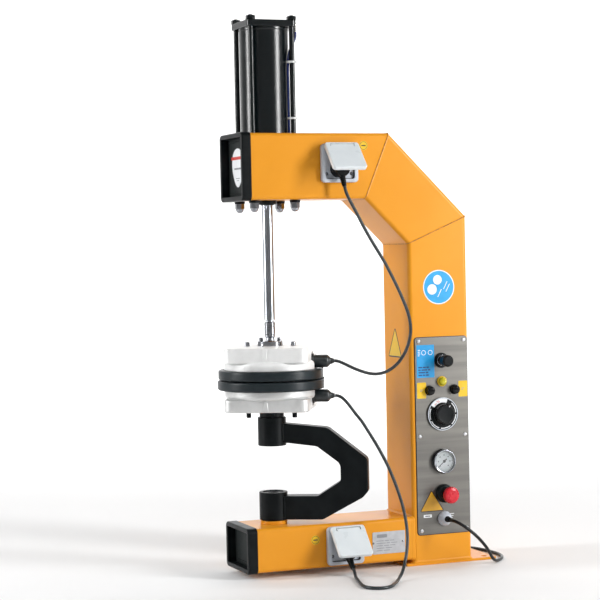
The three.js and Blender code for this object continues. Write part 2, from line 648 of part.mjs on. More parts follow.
const lowerLeadRoute = [
  [-176, -131.4, 16.7],
  [-176.5, -138.5, 11.3],
  [-179.5, -150, 6],
  [-185, -167, 4],
  [-193, -195, 4],
  [-203, -232, 4],
  [-210, -262, 4],
  [-211, -282, 4],
  [-204, -299, 4],
  [-190, -309, 4],
  [-173, -309, 4],
  [-158, -300, 4],
  [-143, -281, 4],
  [-126, -257, 4],
  [-110, -236, 8],
  [-95, -219, 17],
  [-82, -204, 33],
  [-72, -193, 54],
  [-65, -183, 78],
  [-61, -173, 104],
  [-60.5, -163, 132],
  [-63, -153, 160],
  [-68, -144, 187],
  [-75, -135, 215],
  [-84, -127, 243],
  [-95, -119, 270],
  [-107, -111, 296],
  [-120, -103, 321],
  [-133, -95.5, 345],
  [-145, -89, 362.5],
  [-156, -84.5, 379],
  [-165, -80.2, 391.7],
  [-173, -76, 400.2],
  [-180, -72.3, 404.2],
  [-186.3, -68.95, 405.4],
];

const mainsLeadRoute = [
  [79, -109.6, 106],
  [79.2, -119, 106.2],
  [80.5, -130, 105.8],
  [86, -143.5, 102],
  [96, -153, 94],
  [109, -157.3, 83],
  [122, -157.2, 71.5],
  [137, -154, 57],
  [153, -147, 40],
  [167, -138, 22],
  [180, -128, 9.5],
  [193, -117, 4.6],
  [207, -104, 4],
  [221, -87, 4],
  [232, -66, 4],
  [238, -42, 4],
  [239, -14, 4],
  [237, 16, 4],
  [232, 46, 4],
  [222, 74, 4],
  [205, 96, 4],
  [185, 109, 4],
  [165, 115, 4],
  [149, 116, 4],
];

function buildCords() {
  add('upper_lead', tubeAlong(upperLeadRoute, LEAD_D, 36), cableRubber);
  add('lower_lead', tubeAlong(lowerLeadRoute, LEAD_D, 48), cableRubber);
  add('mains_lead', tubeAlong(mainsLeadRoute, LEAD_D, 42), cableRubber);

  const [inner, outer] = COIL_TURN_R;
  const coilTop = 0.25 + LEAD_D * COIL_LAYERS;
  add('mains_coil', turned([
    [inner - LEAD_D / 2, 0.25], [outer + LEAD_D / 2, 0.25], [outer + LEAD_D / 2, coilTop],
    [inner - LEAD_D / 2, coilTop], [inner - LEAD_D / 2, 0.25],
  ], SIDES.medium).translate(COIL_X, COIL_Y, 0), cableRubber);

  const plug = groupAt(COIL_X + 28.5, COIL_Y + outer, PLUG_R + 0.3);
  plug.rotation.y = Math.PI / 2;
  add('mains_plug', join(
    turned([
      [0, 0], [4.8, 0], [7, 26], [11, 29], [PLUG_R - 2, 36],
      [PLUG_R, 42], [PLUG_R, 66], [PLUG_R - 1, 67], [0, 67],
    ]),
    rod(2.4, 66, 85, { x: 9.5, sides: SIDES.tiny }),
    rod(2.4, 66, 85, { x: -9.5, sides: SIDES.tiny }),
  ), blackPlastic, plug);
}

// ---------------------------------------------------------------- assembly
buildFrame();
endCap('upper_end_cap', UPPER_CAP, UPPER_ARM_Z, UPPER_ARM_TOP);
endCap('lower_end_cap', LOWER_CAP, LOWER_ARM_Z, LOWER_ARM_Z + LOWER_ARM_HEIGHT);
buildCylinder();
buildRam();
buildPlaten('upper', 1, UPPER_RING_R);
buildPlaten('lower', -1, LOWER_RING_R);
buildGooseneck();
buildPanel();
buildSocket('upper', UPPER_SOCKET, UPPER_BOOT);
buildSocket('lower', LOWER_SOCKET, LOWER_BOOT);
buildCords();

// The origin is the middle of the footprint, on the floor, measured without the cords and their plugs.
machine.updateMatrixWorld(true);
const footprint = new THREE.Box3();
machine.traverse((piece) => {
  if (piece.isMesh && !/lead|coil|_plug/.test(piece.name)) footprint.expandByObject(piece, true);
});
const middle = footprint.getCenter(new THREE.Vector3());
machine.position.set(-middle.x, -middle.y, 0);

export default machine;
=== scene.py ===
"""Pneumatic spot-vulcanising press: the looks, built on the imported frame."""
from math import acos, cos, pi, radians, sin, sqrt, tan

import bmesh
import bpy
from mathutils import Matrix, Vector


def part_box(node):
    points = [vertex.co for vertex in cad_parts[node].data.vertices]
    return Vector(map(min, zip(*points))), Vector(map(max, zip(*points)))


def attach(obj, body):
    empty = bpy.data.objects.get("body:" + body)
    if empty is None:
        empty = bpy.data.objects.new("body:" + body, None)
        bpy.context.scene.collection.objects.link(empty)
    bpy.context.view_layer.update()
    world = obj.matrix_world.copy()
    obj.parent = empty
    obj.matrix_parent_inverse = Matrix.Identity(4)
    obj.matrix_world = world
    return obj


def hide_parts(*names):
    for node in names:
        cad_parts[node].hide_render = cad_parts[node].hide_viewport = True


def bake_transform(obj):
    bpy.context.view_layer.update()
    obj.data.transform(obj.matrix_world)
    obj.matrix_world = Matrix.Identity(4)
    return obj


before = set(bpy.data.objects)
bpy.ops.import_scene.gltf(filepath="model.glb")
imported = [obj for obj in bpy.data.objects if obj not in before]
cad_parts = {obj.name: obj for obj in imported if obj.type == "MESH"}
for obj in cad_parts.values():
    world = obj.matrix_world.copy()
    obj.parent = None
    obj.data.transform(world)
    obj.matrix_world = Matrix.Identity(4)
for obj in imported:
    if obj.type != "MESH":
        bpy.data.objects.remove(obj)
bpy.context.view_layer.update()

# ---------------------------------------------------------------- the machine's own frame, millimetres
# x runs back from the column's front face, y from mid-width, z up from the floor.
MM = 0.001
BASE_FRONT, BASE_BACK, BASE_THICKNESS = -18, 213, 6
base_low, base_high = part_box("base_plate")
ZERO = Vector((base_high.x - BASE_BACK * MM, (base_low.y + base_high.y) / 2, 0))
TO_ROW = Matrix.Translation(ZERO) @ Matrix.Scale(MM, 4)

TUBE, HALF, WALL, EDGE = 150, 75, 5, 9  # square tube: side, half of it, wall, outer corner radius
LOWER_Z, LOWER_TOP = 14, 114  # lower arm
UPPER_Z, UPPER_TOP = 852, 1002  # upper arm
KNEE = 105  # run of the brace's inner edge, in x and in z
MITRE = TUBE * tan(pi / 8)
RAM_X = -316  # the one axis of the ram and the swing arm
SWING = -28  # degrees by which the swing arm and the platens stand turned
MEETING_Z = 445  # where the platens meet
PANEL_FACE = -77.3  # y of the control panel's face
CONTROL_X = 78  # middle line of the controls
UPPER_SOCKET = (-170, 933)  # x and z of a socket's middle
LOWER_SOCKET = (-174, 63.5)
SOCKET_BORE_DROP = 13  # from a socket's middle down to its plug
LEAD_D, HOSE_D = 7.5, 6
HOSE_HOLE = (40, -45.8)  # x and y from the ram's axis
TIE_OFFSET = 49  # tie rods, along x and y from the ram's axis
BUSH_BORE_R = 15.3


def quarter_turn(axis):
    return Matrix.Rotation(pi / 2, 4, axis)


def about_z(degrees):
    return Matrix.Rotation(radians(degrees), 4, "Z")


def offset(x=0.0, y=0.0, z=0.0):
    return Matrix.Translation((x, y, z))


HERE = Matrix()
RAM = offset(RAM_X)
PLATEN = offset(RAM_X, 0, MEETING_Z) @ about_z(SWING)
FLIPPED = Matrix.Diagonal((1, 1, -1, 1))
ARM = RAM @ about_z(SWING)


def outward(x, z, face=-HALF):
    """Local x stays, local y is up and local z points out of the operator's side."""
    return offset(x, face, z) @ quarter_turn("X")


def row_point(x, y, z):
    return TO_ROW @ Vector((x, y, z))


# ---------------------------------------------------------------- outlines
def rounded(corners, steps=6):
    """Closed outline through corners (x, y, radius), each radius drawn as an arc."""
    points = []
    for i, (x, y, radius) in enumerate(corners):
        corner = Vector((x, y))
        if radius <= 0:
            points.append((x, y))
            continue
        back = (Vector(corners[i - 1][:2]) - corner).normalized()
        ahead = (Vector(corners[(i + 1) % len(corners)][:2]) - corner).normalized()
        half = acos(max(-1, min(1, back.dot(ahead)))) / 2
        centre = corner + (back + ahead).normalized() * (radius / sin(half))
        start = corner + back * (radius / tan(half)) - centre
        end = corner + ahead * (radius / tan(half)) - centre
        for k in range(steps + 1):
            turned = start.slerp(end, k / steps) if k not in (0, steps) else (end if k else start)
            points.append(tuple(centre + turned.normalized() * radius))
    return points


def rectangle(width, height, radius=0.0, x=0.0, y=0.0, steps=6):
    w, h, r = width / 2, height / 2, max(radius, 0.01)
    return rounded([(x - w, y - h, r), (x + w, y - h, r), (x + w, y + h, r), (x - w, y + h, r)], steps)


def circle(radius, sides=64, x=0.0, y=0.0):
    return [(x + radius * cos(2 * pi * i / sides), y + radius * sin(2 * pi * i / sides))
        for i in range(sides)]


def inset(outline, distance):
    """The outline, which runs anticlockwise, moved inwards."""
    inner = []
    for i, point in enumerate(outline):
        here = Vector(point)
        a = (here - Vector(outline[i - 1])).normalized()
        b = (Vector(outline[(i + 1) % len(outline)]) - here).normalized()
        normal = Vector((-a.y - b.y, a.x + b.x)).normalized()
        inner.append(tuple(here + normal * distance / max(0.35, normal.dot(Vector((-a.y, a.x))))))
    return inner


def smooth_route(points, spacing=4.0):
    """Points along a centripetal Catmull-Rom curve through a route."""
    route = [Vector(p) for p in points]
    route = [route[0] * 2 - route[1], *route, route[-1] * 2 - route[-2]]
    curve = []
    for p0, p1, p2, p3 in zip(route, route[1:], route[2:], route[3:]):
        gaps = [max(1e-6, sqrt((b - a).length)) for a, b in ((p0, p1), (p1, p2), (p2, p3))]
        t1, t2, t3 = gaps[0], gaps[0] + gaps[1], sum(gaps)
        count = max(2, round((p2 - p1).length / spacing))
        for k in range(count):
            t = t1 + (t2 - t1) * k / count
            a1 = p0 * ((t1 - t) / t1) + p1 * (t / t1)
            a2 = p1 * ((t2 - t) / (t2 - t1)) + p2 * ((t - t1) / (t2 - t1))
            a3 = p2 * ((t3 - t) / (t3 - t2)) + p3 * ((t - t2) / (t3 - t2))
            b1 = a1 * ((t2 - t) / t2) + a2 * (t / t2)
            b2 = a2 * ((t3 - t) / (t3 - t1)) + a3 * ((t - t1) / (t3 - t1))
            curve.append(b1 * ((t2 - t) / (t2 - t1)) + b2 * ((t - t1) / (t2 - t1)))
    return [*curve, route[-2]]


# ---------------------------------------------------------------- solids: (vertices, faces) in millimetres
def stack(loops, closed=False):
    """Skin through loops of equal length, with its ends capped unless it closes on itself."""
    count = len(loops[0])
    vertices = [tuple(p) for loop in loops for p in loop]
    faces = []
    for i in range(len(loops) if closed else len(loops) - 1):
        a, b = i * count, (i + 1) % len(loops) * count
        faces += [(a + k, a + (k + 1) % count, b + (k + 1) % count, b + k) for k in range(count)]
    if not closed:
        faces.append(tuple(reversed(range(count))))
        faces.append(tuple(range(len(vertices) - count, len(vertices))))
    return vertices, faces


def level(outline, z):
    return [(x, y, z) for x, y in outline]


def prism(outline, z0, z1, edge=0.0, steps=3):
    """Upright block of that outline, its rims rounded by edge."""
    turns = [pi / 2 * k / steps for k in range(steps + 1)] if edge else [pi / 2]
    rims = [(edge * (1 - sin(t)), edge * (1 - cos(t))) for t in turns]
    loops = [level(inset(outline, d) if d else outline, z0 + rise) for d, rise in rims]
    loops += [level(inset(outline, d) if d else outline, z1 - rise) for d, rise in reversed(rims)]
    return stack(loops)


def with_radii(profile):
    return [(*p, 0)[:3] for p in profile]


def lathe(profile, sides=96, steps=4):
    """Solid of revolution about Z from (r, z) or (r, z, radius) points; off the axis it is a ring."""
    outline = rounded(with_radii(profile), steps)
    loops = [level(circle(max(r, 0), sides), z) for r, z in outline]
    return stack(loops, closed=profile[0][0] > 0)


def sweep(path, radius, sides=12, closed=False):
    """Round bar along a path, its section carried along without twist."""
    points = [Vector(p) for p in path]
    last = len(points) - 1
    loops = []
    normal = None
    for i, point in enumerate(points):
        before = points[i - 1] if i or closed else point
        after = points[(i + 1) % len(points)] if i < last or closed else point
        along = (after - before).normalized()
        if normal is None:
            normal = along.orthogonal().normalized()
        normal = (normal - along * normal.dot(along)).normalized()
        side = along.cross(normal)
        angles = [2 * pi * k / sides for k in range(sides)]
        loops.append([point + normal * radius * cos(a) + side * radius * sin(a) for a in angles])
    return stack(loops, closed)


def moved(shape, matrix):
    vertices, faces = shape
    return [tuple(matrix @ Vector(v)) for v in vertices], faces


def shifted(shape, x=0.0, y=0.0, z=0.0):
    return moved(shape, offset(x, y, z))


# ---------------------------------------------------------------- pieces
def solid(shape):
    """A closed mesh with its faces pointing out."""
    vertices, faces = shape
    mesh = bpy.data.meshes.new("solid")
    mesh.from_pydata(vertices, [], faces)
    bm = bmesh.new()
    bm.from_mesh(mesh)
    bmesh.ops.remove_doubles(bm, verts=bm.verts, dist=1e-4)
    bmesh.ops.dissolve_degenerate(bm, edges=bm.edges, dist=1e-5)
    bmesh.ops.recalc_face_normals(bm, faces=bm.faces)
    bm.to_mesh(mesh)
    bm.free()
    return mesh


def boolean(mesh, operation, tool):
    """The mesh after one exact boolean with another."""
    operands = [bpy.data.objects.new("operand", m) for m in (mesh, tool)]
    for operand in operands:
        bpy.context.scene.collection.objects.link(operand)
    modifier = operands[0].modifiers.new("boolean", "BOOLEAN")
    modifier.operation = operation
    modifier.solver = "EXACT"
    modifier.object = operands[1]
    graph = bpy.context.evaluated_depsgraph_get()
    result = bpy.data.meshes.new_from_object(operands[0].evaluated_get(graph), depsgraph=graph)
    for operand in operands:
        bpy.data.objects.remove(operand)
    return result


def side_by_side(shapes):
    """Separate solids in one mesh."""
    vertices, faces = [], []
    for v, f in shapes:
        faces += [tuple(i + len(vertices) for i in face) for face in f]
        vertices += v
    return vertices, faces


def piece(name, shapes, material, body="frame", replaces=(), place=HERE, cuts=(), sharp=32):
    """One finished piece: its shapes joined, its cuts taken out, placed in the row and riding on a body."""
    mesh = solid(shapes[0])
    for shape in shapes[1:]:
        mesh = boolean(mesh, "UNION", solid(shape))
    for shape in cuts:
        mesh = boolean(mesh, "DIFFERENCE", solid(shape))
    if not mesh.polygons:
        raise ValueError(f"{name} came out empty")
    mesh.transform(TO_ROW @ place)
    if place.determinant() < 0:
        mesh.flip_normals()
    mesh.materials.clear()
    mesh.materials.append(material)
    mesh.polygons.foreach_set("use_smooth", [True] * len(mesh.polygons))
    mesh.polygons.foreach_set("material_index", [0] * len(mesh.polygons))
    mesh.set_sharp_from_angle(angle=radians(sharp))
    mesh.name = name
    made = bpy.data.objects.new(name, mesh)
    bpy.context.scene.collection.objects.link(made)
    weighted = made.modifiers.new("weighted_normals", "WEIGHTED_NORMAL")
    weighted.keep_sharp = True
    if body:
        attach(made, body)
    if replaces:
        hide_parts(*replaces)
    return made


# ---------------------------------------------------------------- materials
def set_sockets(node, **settings):
    """The node, with constants on the sockets that settings names (an underscore stands for a space)."""
    for socket, value in settings.items():
        node.inputs[socket.replace("_", " ")].default_value = value
    return node


def link_noise(tree, mapping, scale, detail=4.0, distortion=0.0):
    noise = set_sockets(tree.nodes.new("ShaderNodeTexNoise"), Scale=scale, Detail=detail,
        Distortion=distortion)
    tree.links.new(mapping.outputs["Vector"], noise.inputs["Vector"])
    return noise.outputs["Fac"]


PATCH_EDGES = (0.35, 0.65)
SCUFF_EDGES, SCUFF_SCALE = (0.62, 0.78), 0.12


def surface(name, slot, colour, tint, rough, relief, metallic=0.0, stretch=(1, 1, 1), scuffs=0.0, detail=4.0,
        **sockets):
    """Procedural finish: two colours in patches, roughness that varies with them, and a fine relief.

    relief is (patch, grain, depth) in millimetres; scuffs spreads scattered lighter marks.
    """
    patch, grain, depth = relief
    material = bpy.data.materials.new(name)
    material.use_nodes = True
    tree = material.node_tree
    shader = set_sockets(tree.nodes["Principled BSDF"], Metallic=metallic, **sockets)
    place = tree.nodes.new("ShaderNodeTexCoord")
    mapping = set_sockets(tree.nodes.new("ShaderNodeMapping"), Scale=stretch)
    tree.links.new(place.outputs["Object"], mapping.inputs["Vector"])

    patches = link_noise(tree, mapping, 1 / (patch * MM), detail)
    tint = tint or tuple(c * 0.82 for c in colour)
    ramp = tree.nodes.new("ShaderNodeValToRGB")
    for element, position, shade in zip(ramp.color_ramp.elements, PATCH_EDGES, (tint, colour)):
        element.position = position
        element.color = (*shade, 1)
    tree.links.new(patches, ramp.inputs["Fac"])
    base = ramp.outputs["Color"]
    if scuffs:
        marks = link_noise(tree, mapping, 1 / (patch * MM * SCUFF_SCALE), 8, 1.5)
        spread = set_sockets(tree.nodes.new("ShaderNodeMapRange"), From_Min=SCUFF_EDGES[0],
            From_Max=SCUFF_EDGES[1], To_Max=scuffs)
        tree.links.new(marks, spread.inputs["Value"])
        mix = tree.nodes.new("ShaderNodeMix")
        mix.data_type = "RGBA"
        mix.inputs["B"].default_value = (*[min(1, c * 1.6 + 0.04) for c in colour], 1)
        tree.links.new(spread.outputs["Result"], mix.inputs["Factor"])
        tree.links.new(base, mix.inputs["A"])
        base = mix.outputs["Result"]
    tree.links.new(base, shader.inputs["Base Color"])

    fine = link_noise(tree, mapping, 1 / (grain * MM), 3)
    polish = set_sockets(tree.nodes.new("ShaderNodeMapRange"), To_Min=rough[0], To_Max=rough[1])
    tree.links.new(patches, polish.inputs["Value"])
    tree.links.new(polish.outputs["Result"], shader.inputs["Roughness"])
    bump = set_sockets(tree.nodes.new("ShaderNodeBump"), Strength=1.0, Distance=depth * MM)
    tree.links.new(fine, bump.inputs["Height"])
    tree.links.new(bump.outputs["Normal"], shader.inputs["Normal"])
    return material


ORANGE = surface("orange_powder_coat", "orange_paint", (0.76, 0.305, 0.017), (0.73, 0.288, 0.015),
    (0.26, 0.36), (120, 2.6, 0.035), scuffs=0.05, Specular_IOR_Level=0.22, Coat_Weight=0.05,
    Coat_Roughness=0.18)
# Near-black for the inner faces of the upper arm: painted shade inside the tube.
TUBE_INSIDE_SHADE = surface("tube_inside_painted_shade", "orange_paint", (0.018, 0.019, 0.021), (0.035, 0.034, 0.033),
    (0.5, 0.7), (25, 1.2, 0.03))
WELD = surface("weld_bead", "orange_paint", (0.60, 0.25, 0.03), (0.30, 0.125, 0.02), (0.40, 0.60),
    (7, 2.2, 0.4), scuffs=0.1)
BLACK_GLOSS = surface("black_enamel", "black_paint", (0.0010, 0.0030, 0.0040), (0.002, 0.004, 0.005),
    (0.10, 0.15), (60, 1.6, 0.26), Specular_IOR_Level=0.54)
BLACK_CAST = surface("black_enamel_on_casting", "black_paint", (0.0014, 0.0028, 0.0034),
    (0.005, 0.007, 0.008), (0.30, 0.42), (45, 1.8, 0.09), scuffs=0.03, Specular_IOR_Level=0.14)
BLACK_PLASTIC = surface("black_moulding", "black_plastic", (0.0018, 0.0032, 0.0038), (0.006, 0.008, 0.009),
    (0.30, 0.42), (30, 0.5, 0.02), scuffs=0.02, Specular_IOR_Level=0.16)
GREY_PANEL = surface("dark_moulded_floor", "black_plastic", (0.012, 0.016, 0.016), None, (0.45, 0.6),
    (30, 0.5, 0.02), Specular_IOR_Level=0.2)
BLACK_KNOB = surface("black_phenolic", "black_plastic", (0.0030, 0.0032, 0.0036), None, (0.12, 0.20),
    (12, 0.8, 0.01), Specular_IOR_Level=0.3)
CHROME = surface("hard_chrome", "hard_chrome", (0.50, 0.52, 0.56), (0.42, 0.44, 0.48), (0.09, 0.17),
    (30, 0.35, 0.004), 1.0, stretch=(1 / 18, 1 / 18, 1))
ZINC = surface("zinc_plate", "zinc_steel", (0.38, 0.39, 0.42), (0.28, 0.29, 0.31), (0.14, 0.26),
    (9, 0.5, 0.012), 1.0, scuffs=0.1)
SCREW = surface("bright_zinc_plate", "zinc_steel", (0.86, 0.87, 0.90), None, (0.24, 0.36), (6, 0.5, 0.01),
    1.0)
# Two copies of one cast aluminium: the upper platen's is lighter, as painted light from above, and the lower
# platen's darker copy is painted shade.
CAST = surface("sand_cast_aluminium", "cast_aluminium", (0.90, 0.905, 0.90), (0.84, 0.845, 0.84),
    (0.32, 0.46), (22, 1.1, 0.16), 0.2, scuffs=0.05, detail=6.0)
CAST_PAINTED_SHADE = surface("sand_cast_aluminium_painted_shade", "cast_aluminium", (0.74, 0.745, 0.74), (0.66, 0.665, 0.66),
    (0.34, 0.50), (22, 1.1, 0.16), 0.5, scuffs=0.05, detail=6.0)
GLAND = surface("gland_moulding", "black_plastic", (0.010, 0.014, 0.016), (0.016, 0.021, 0.023), (0.28, 0.40),
    (16, 0.6, 0.02), Specular_IOR_Level=0.55)
MACHINED = surface("machined_aluminium", "cast_aluminium", (0.62, 0.62, 0.60), (0.48, 0.475, 0.45),
    (0.22, 0.36), (18, 0.4, 0.03), 1.0, stretch=(1 / 14, 1 / 14, 1))
RUBBER = surface("moulded_ring", "black_rubber", (0.009, 0.015, 0.018), (0.015, 0.022, 0.026), (0.28, 0.40),
    (26, 0.9, 0.03), scuffs=0.05, Specular_IOR_Level=0.3)
SHEATH = surface("cable_sheath", "cable_rubber", (0.024, 0.030, 0.033), (0.017, 0.022, 0.025), (0.28, 0.40),
    (14, 0.6, 0.02))
BLACK_SHEATH = surface("black_cable_sheath", "cable_rubber", (0.007, 0.009, 0.010), None, (0.26, 0.38),
    (14, 0.6, 0.02), Specular_IOR_Level=0.35)
PANEL_STEEL = surface("brushed_panel", "panel_steel", (0.185, 0.178, 0.163), (0.145, 0.140, 0.130),
    (0.30, 0.40), (14, 0.7, 0.02), 0.75, stretch=(1 / 22, 1, 1))
GREY_PLASTIC = surface("light_grey_moulding", "grey_plastic", (0.56, 0.60, 0.66), (0.51, 0.55, 0.61),
    (0.28, 0.38), (40, 0.8, 0.012))
WHITE_PLASTIC = surface("white_moulding", "grey_plastic", (0.71, 0.755, 0.775), (0.67, 0.715, 0.74),
    (0.24, 0.34), (40, 0.8, 0.012))
RED_PLASTIC = surface("red_moulding", "red_plastic", (0.62, 0.008, 0.022), (0.50, 0.006, 0.018), (0.22, 0.34),
    (10, 0.7, 0.03))
LENS = surface("lamp_moulding", "yellow_lens", (0.70, 0.62, 0.02), (0.55, 0.47, 0.01), (0.10, 0.18),
    (4, 0.8, 0.03), Transmission_Weight=0.25)
GLASS = surface("gauge_window", "gauge_glass", (0.96, 0.98, 0.98), (0.93, 0.96, 0.96), (0.02, 0.05),
    (30, 3, 0.002), Transmission_Weight=1.0, IOR=1.46)
BRASS = surface("nickelled_brass", "brass", (0.46, 0.45, 0.43), None, (0.20, 0.34), (5, 0.4, 0.01), 1.0)
HOSE = surface("polyurethane_hose", "blue_hose", (0.006, 0.018, 0.12), None, (0.20, 0.30), (20, 1.0, 0.01))
TIE_WHITE = surface("white_tie", "grey_plastic", (0.75, 0.76, 0.76), None, (0.35, 0.45), (4, 0.5, 0.01))
PLATE = surface("anodised_label", "panel_steel", (0.50, 0.51, 0.53), (0.44, 0.45, 0.47), (0.30, 0.40),
    (12, 0.5, 0.004), 0.6)


def film(name, slot, colour):
    """Printed adhesive film."""
    return surface(name, slot, colour, tuple(c * 0.92 for c in colour), (0.26, 0.36), (16, 0.9, 0.006))


YELLOW_FILM = film("yellow_film", "yellow_lens", (0.80, 0.50, 0.004))
AMBER_FILM = film("amber_film", "yellow_lens", (0.66, 0.34, 0.01))
BLUE_FILM = film("blue_film", "grey_plastic", (0.004, 0.30, 0.66))
NAVY_FILM = film("navy_film", "grey_plastic", (0.006, 0.06, 0.20))
SKY_FILM = film("sky_film", "grey_plastic", (0.008, 0.34, 0.70))
WHITE_FILM = film("white_film", "grey_plastic", (0.82, 0.84, 0.86))
RED_FILM = film("red_film", "red_plastic", (0.62, 0.05, 0.04))
BLACK_INK = film("black_ink", "black_plastic", (0.012, 0.012, 0.014))
GREY_INK = film("grey_ink", "black_plastic", (0.24, 0.25, 0.27))


# ---------------------------------------------------------------- camera, light and floor
CAMERA_AT = (-1791.3, -3991.4, 750.1)
AZIMUTH, ELEVATION, ROLL = radians(-21.23), radians(1.70), radians(-1.20)
LENS_MM, SENSOR_MM = 111.85, 36
WORLD_STRENGTH, FAR_AZIMUTH = 0.13, 67


def place_camera():
    back = Vector((sin(AZIMUTH) * cos(ELEVATION), -cos(AZIMUTH) * cos(ELEVATION), sin(ELEVATION)))
    level_right = Vector((cos(AZIMUTH), sin(AZIMUTH), 0))
    level_up = back.cross(level_right)
    right = level_right * cos(ROLL) + level_up * sin(ROLL)
    up = level_up * cos(ROLL) - level_right * sin(ROLL)
    camera = bpy.data.objects.new("camera", bpy.data.cameras.new("camera"))
    camera.data.lens = LENS_MM
    camera.data.sensor_width = SENSOR_MM
    camera.data.clip_end = 60
    turn = Matrix((right, up, back)).transposed().to_4x4()
    camera.matrix_world = Matrix.Translation(row_point(*CAMERA_AT)) @ turn
    bpy.context.scene.collection.objects.link(camera)
    bpy.context.scene.camera = camera


def softbox(name, azimuth, height, distance, width, tall, power, aim=(0, 0, 0.62)):
    """Area light at that azimuth (0 is +X, anticlockwise), metres and watts."""
    light = bpy.data.lights.new(name, "AREA")
    light.shape = "RECTANGLE"
    light.size = width
    light.size_y = tall
    light.energy = power
    holder = bpy.data.objects.new(name, light)
    angle = radians(azimuth)
    spot = Vector((distance * cos(angle), distance * sin(angle), height))
    holder.location = spot
    holder.rotation_euler = (Vector(aim) - spot).to_track_quat("-Z", "Y").to_euler()
    bpy.context.scene.collection.objects.link(holder)


def studio():
    world = bpy.data.worlds.new("studio")
    world.use_nodes = True
    world.node_tree.nodes["Background"].inputs["Color"].default_value = (1.0, 1.0, 1.0, 1)
    world.node_tree.nodes["Background"].inputs["Strength"].default_value = WORLD_STRENGTH
    bpy.context.scene.world = world
    bpy.context.scene.view_settings.view_transform = "Standard"
    softbox("key", -48, 1.5, 3.3, 0.55, 2.4, 116)
    softbox("side", 168, 1.5, 3.0, 0.38, 2.2, 61)
    softbox("front", -112, 4.6, 4.0, 2.6, 1.4, 40)
    far = about_z(FAR_AZIMUTH) @ Vector((1, 0, 0))
    softbox("backdrop", FAR_AZIMUTH, 4.4, 4.5, 5.0, 1.2, 330, aim=far * 9 + Vector((0, 0, 1.0)))
    softbox("far_floor", FAR_AZIMUTH, 3.6, 3.4, 6.0, 2.0, 160, aim=far * 4.4)

    floor_radius, cove, height = 7000, 2500, 6000
    turns = [pi / 2 * k / 12 for k in range(1, 13)]
    profile = [(0, 0), (floor_radius, 0)]
    profile += [(floor_radius + cove * sin(t), cove - cove * cos(t)) for t in turns]
    profile += [(floor_radius + cove, height)]
    loops = [level(circle(r, 96), z) for r, z in profile]
    vertices, faces = stack(loops)
    mesh = bpy.data.meshes.new("floor")
    mesh.from_pydata(vertices, [], faces[:-2])
    mesh.transform(Matrix.Scale(MM, 4))
    mesh.polygons.foreach_set("use_smooth", [True] * len(mesh.polygons))
    pale = surface("pale_floor", None, (0.86, 0.86, 0.86), (0.85, 0.85, 0.85), (0.65, 0.75), (900, 8, 0.02))
    mesh.materials.append(pale)
    floor = bpy.data.objects.new("floor", mesh)
    bpy.context.scene.collection.objects.link(floor)


# ---------------------------------------------------------------- fasteners and grips
def hex_ring(across, z, limit=1e9, sides=72):
    flat = across / 2
    angles = [2 * pi * k / sides for k in range(sides)]
    radii = [min(limit, flat / cos((a + pi / 6) % (pi / 3) - pi / 6)) for a in angles]
    return [(r * cos(a), r * sin(a), z) for a, r in zip(angles, radii)]


def hex_bar(across, z0, z1, low=True, high=True, steps=4):
    """Hexagonal bar with its corners turned off at the chosen ends."""
    flat, corner = across * 0.485, across / sqrt(3)
    rise = (corner - flat) * 0.6
    chamfer = [(flat + (corner - flat) * k / steps, rise * k / steps) for k in range(steps + 1)]
    loops = [hex_ring(across, z0 + h, r) for r, h in chamfer] if low else [hex_ring(across, z0)]
    loops += [hex_ring(across, z1 - h, r) for r, h in reversed(chamfer)] if high else [hex_ring(across, z1)]
    return stack(loops)


def cap_screw(radius, height):
    """Socket-head screw standing on z = 0."""
    key, depth = radius * 0.98, height * 0.45
    sides = circle(radius, 72)
    loops = [level(sides, 0), level(sides, height - 0.6), level(inset(sides, 0.25), height - 0.15)]
    loops += [level(inset(sides, 0.6), height), hex_ring(key, height), hex_ring(key, height - depth)]
    return stack(loops)


def pan_screw(radius, height):
    """Low domed screw head on z = 0, and the cross that is cut into it."""
    dome = lathe([(0, 0), (radius, 0), (radius, height * 0.45, 0.4), (radius * 0.62, height, 1.6),
        (0, height)], 40)
    bar = prism(rectangle(radius * 1.15, radius * 0.26), height - 1.1, height + 1)
    return dome, [bar, moved(bar, quarter_turn("Z"))]


def fluted(profile, count, depth, beyond, steps=4):
    """Turned knob whose rim carries flutes wherever it is wider than beyond."""
    sides = count * 8
    loops = []
    for r, z in rounded(with_radii(profile), steps):
        grip = depth * max(0.0, min(1.0, (r - beyond) / (4 * depth)))
        turn = [2 * pi * k / sides for k in range(sides)]
        reach = [max(r, 0) - grip * (0.5 - 0.5 * cos(count * a)) for a in turn]
        loops.append([(q * cos(a), q * sin(a), z) for q, a in zip(reach, turn)])
    return stack(loops)


def ribs(count, r, z, r_step, pitch, edge, depth, rises):
    """Profile of a relief's ribs: each has a rounded rim and a groove, their heights in rises."""
    width, foot, end = rises
    profile = []
    for k in range(count):
        rim, low = r + r_step * k, z + pitch * k
        profile += [(rim, low, edge), (rim, low + width, edge), (rim - depth, low + foot),
            (rim - depth, low + end)]
    return profile


def flat_label(name, outline, place, material, height=0.25, lift=0.02, body="frame"):
    return piece(name, [prism(outline, lift, lift + height, edge=height * 0.4, steps=2)], material, body,
        place=place)


def triangle_label(name, corners, margin, place, field):
    edge = rounded(corners, 6)
    flat_label(f"{name}_edge", edge, place, BLACK_INK, height=0.2)
    flat_label(f"{name}_field", inset(edge, margin), place, field, height=0.3)


def bars(name, rows, place, material, height=0.12, lift=0.25):
    """Short plain dashes (x, y, width, tall) on a label."""
    shapes = [prism(rectangle(w, h, min(w, h) * 0.3, x, y, 2), lift, lift + height) for x, y, w, h in rows]
    return piece(name, [side_by_side(shapes)], material, place=place)


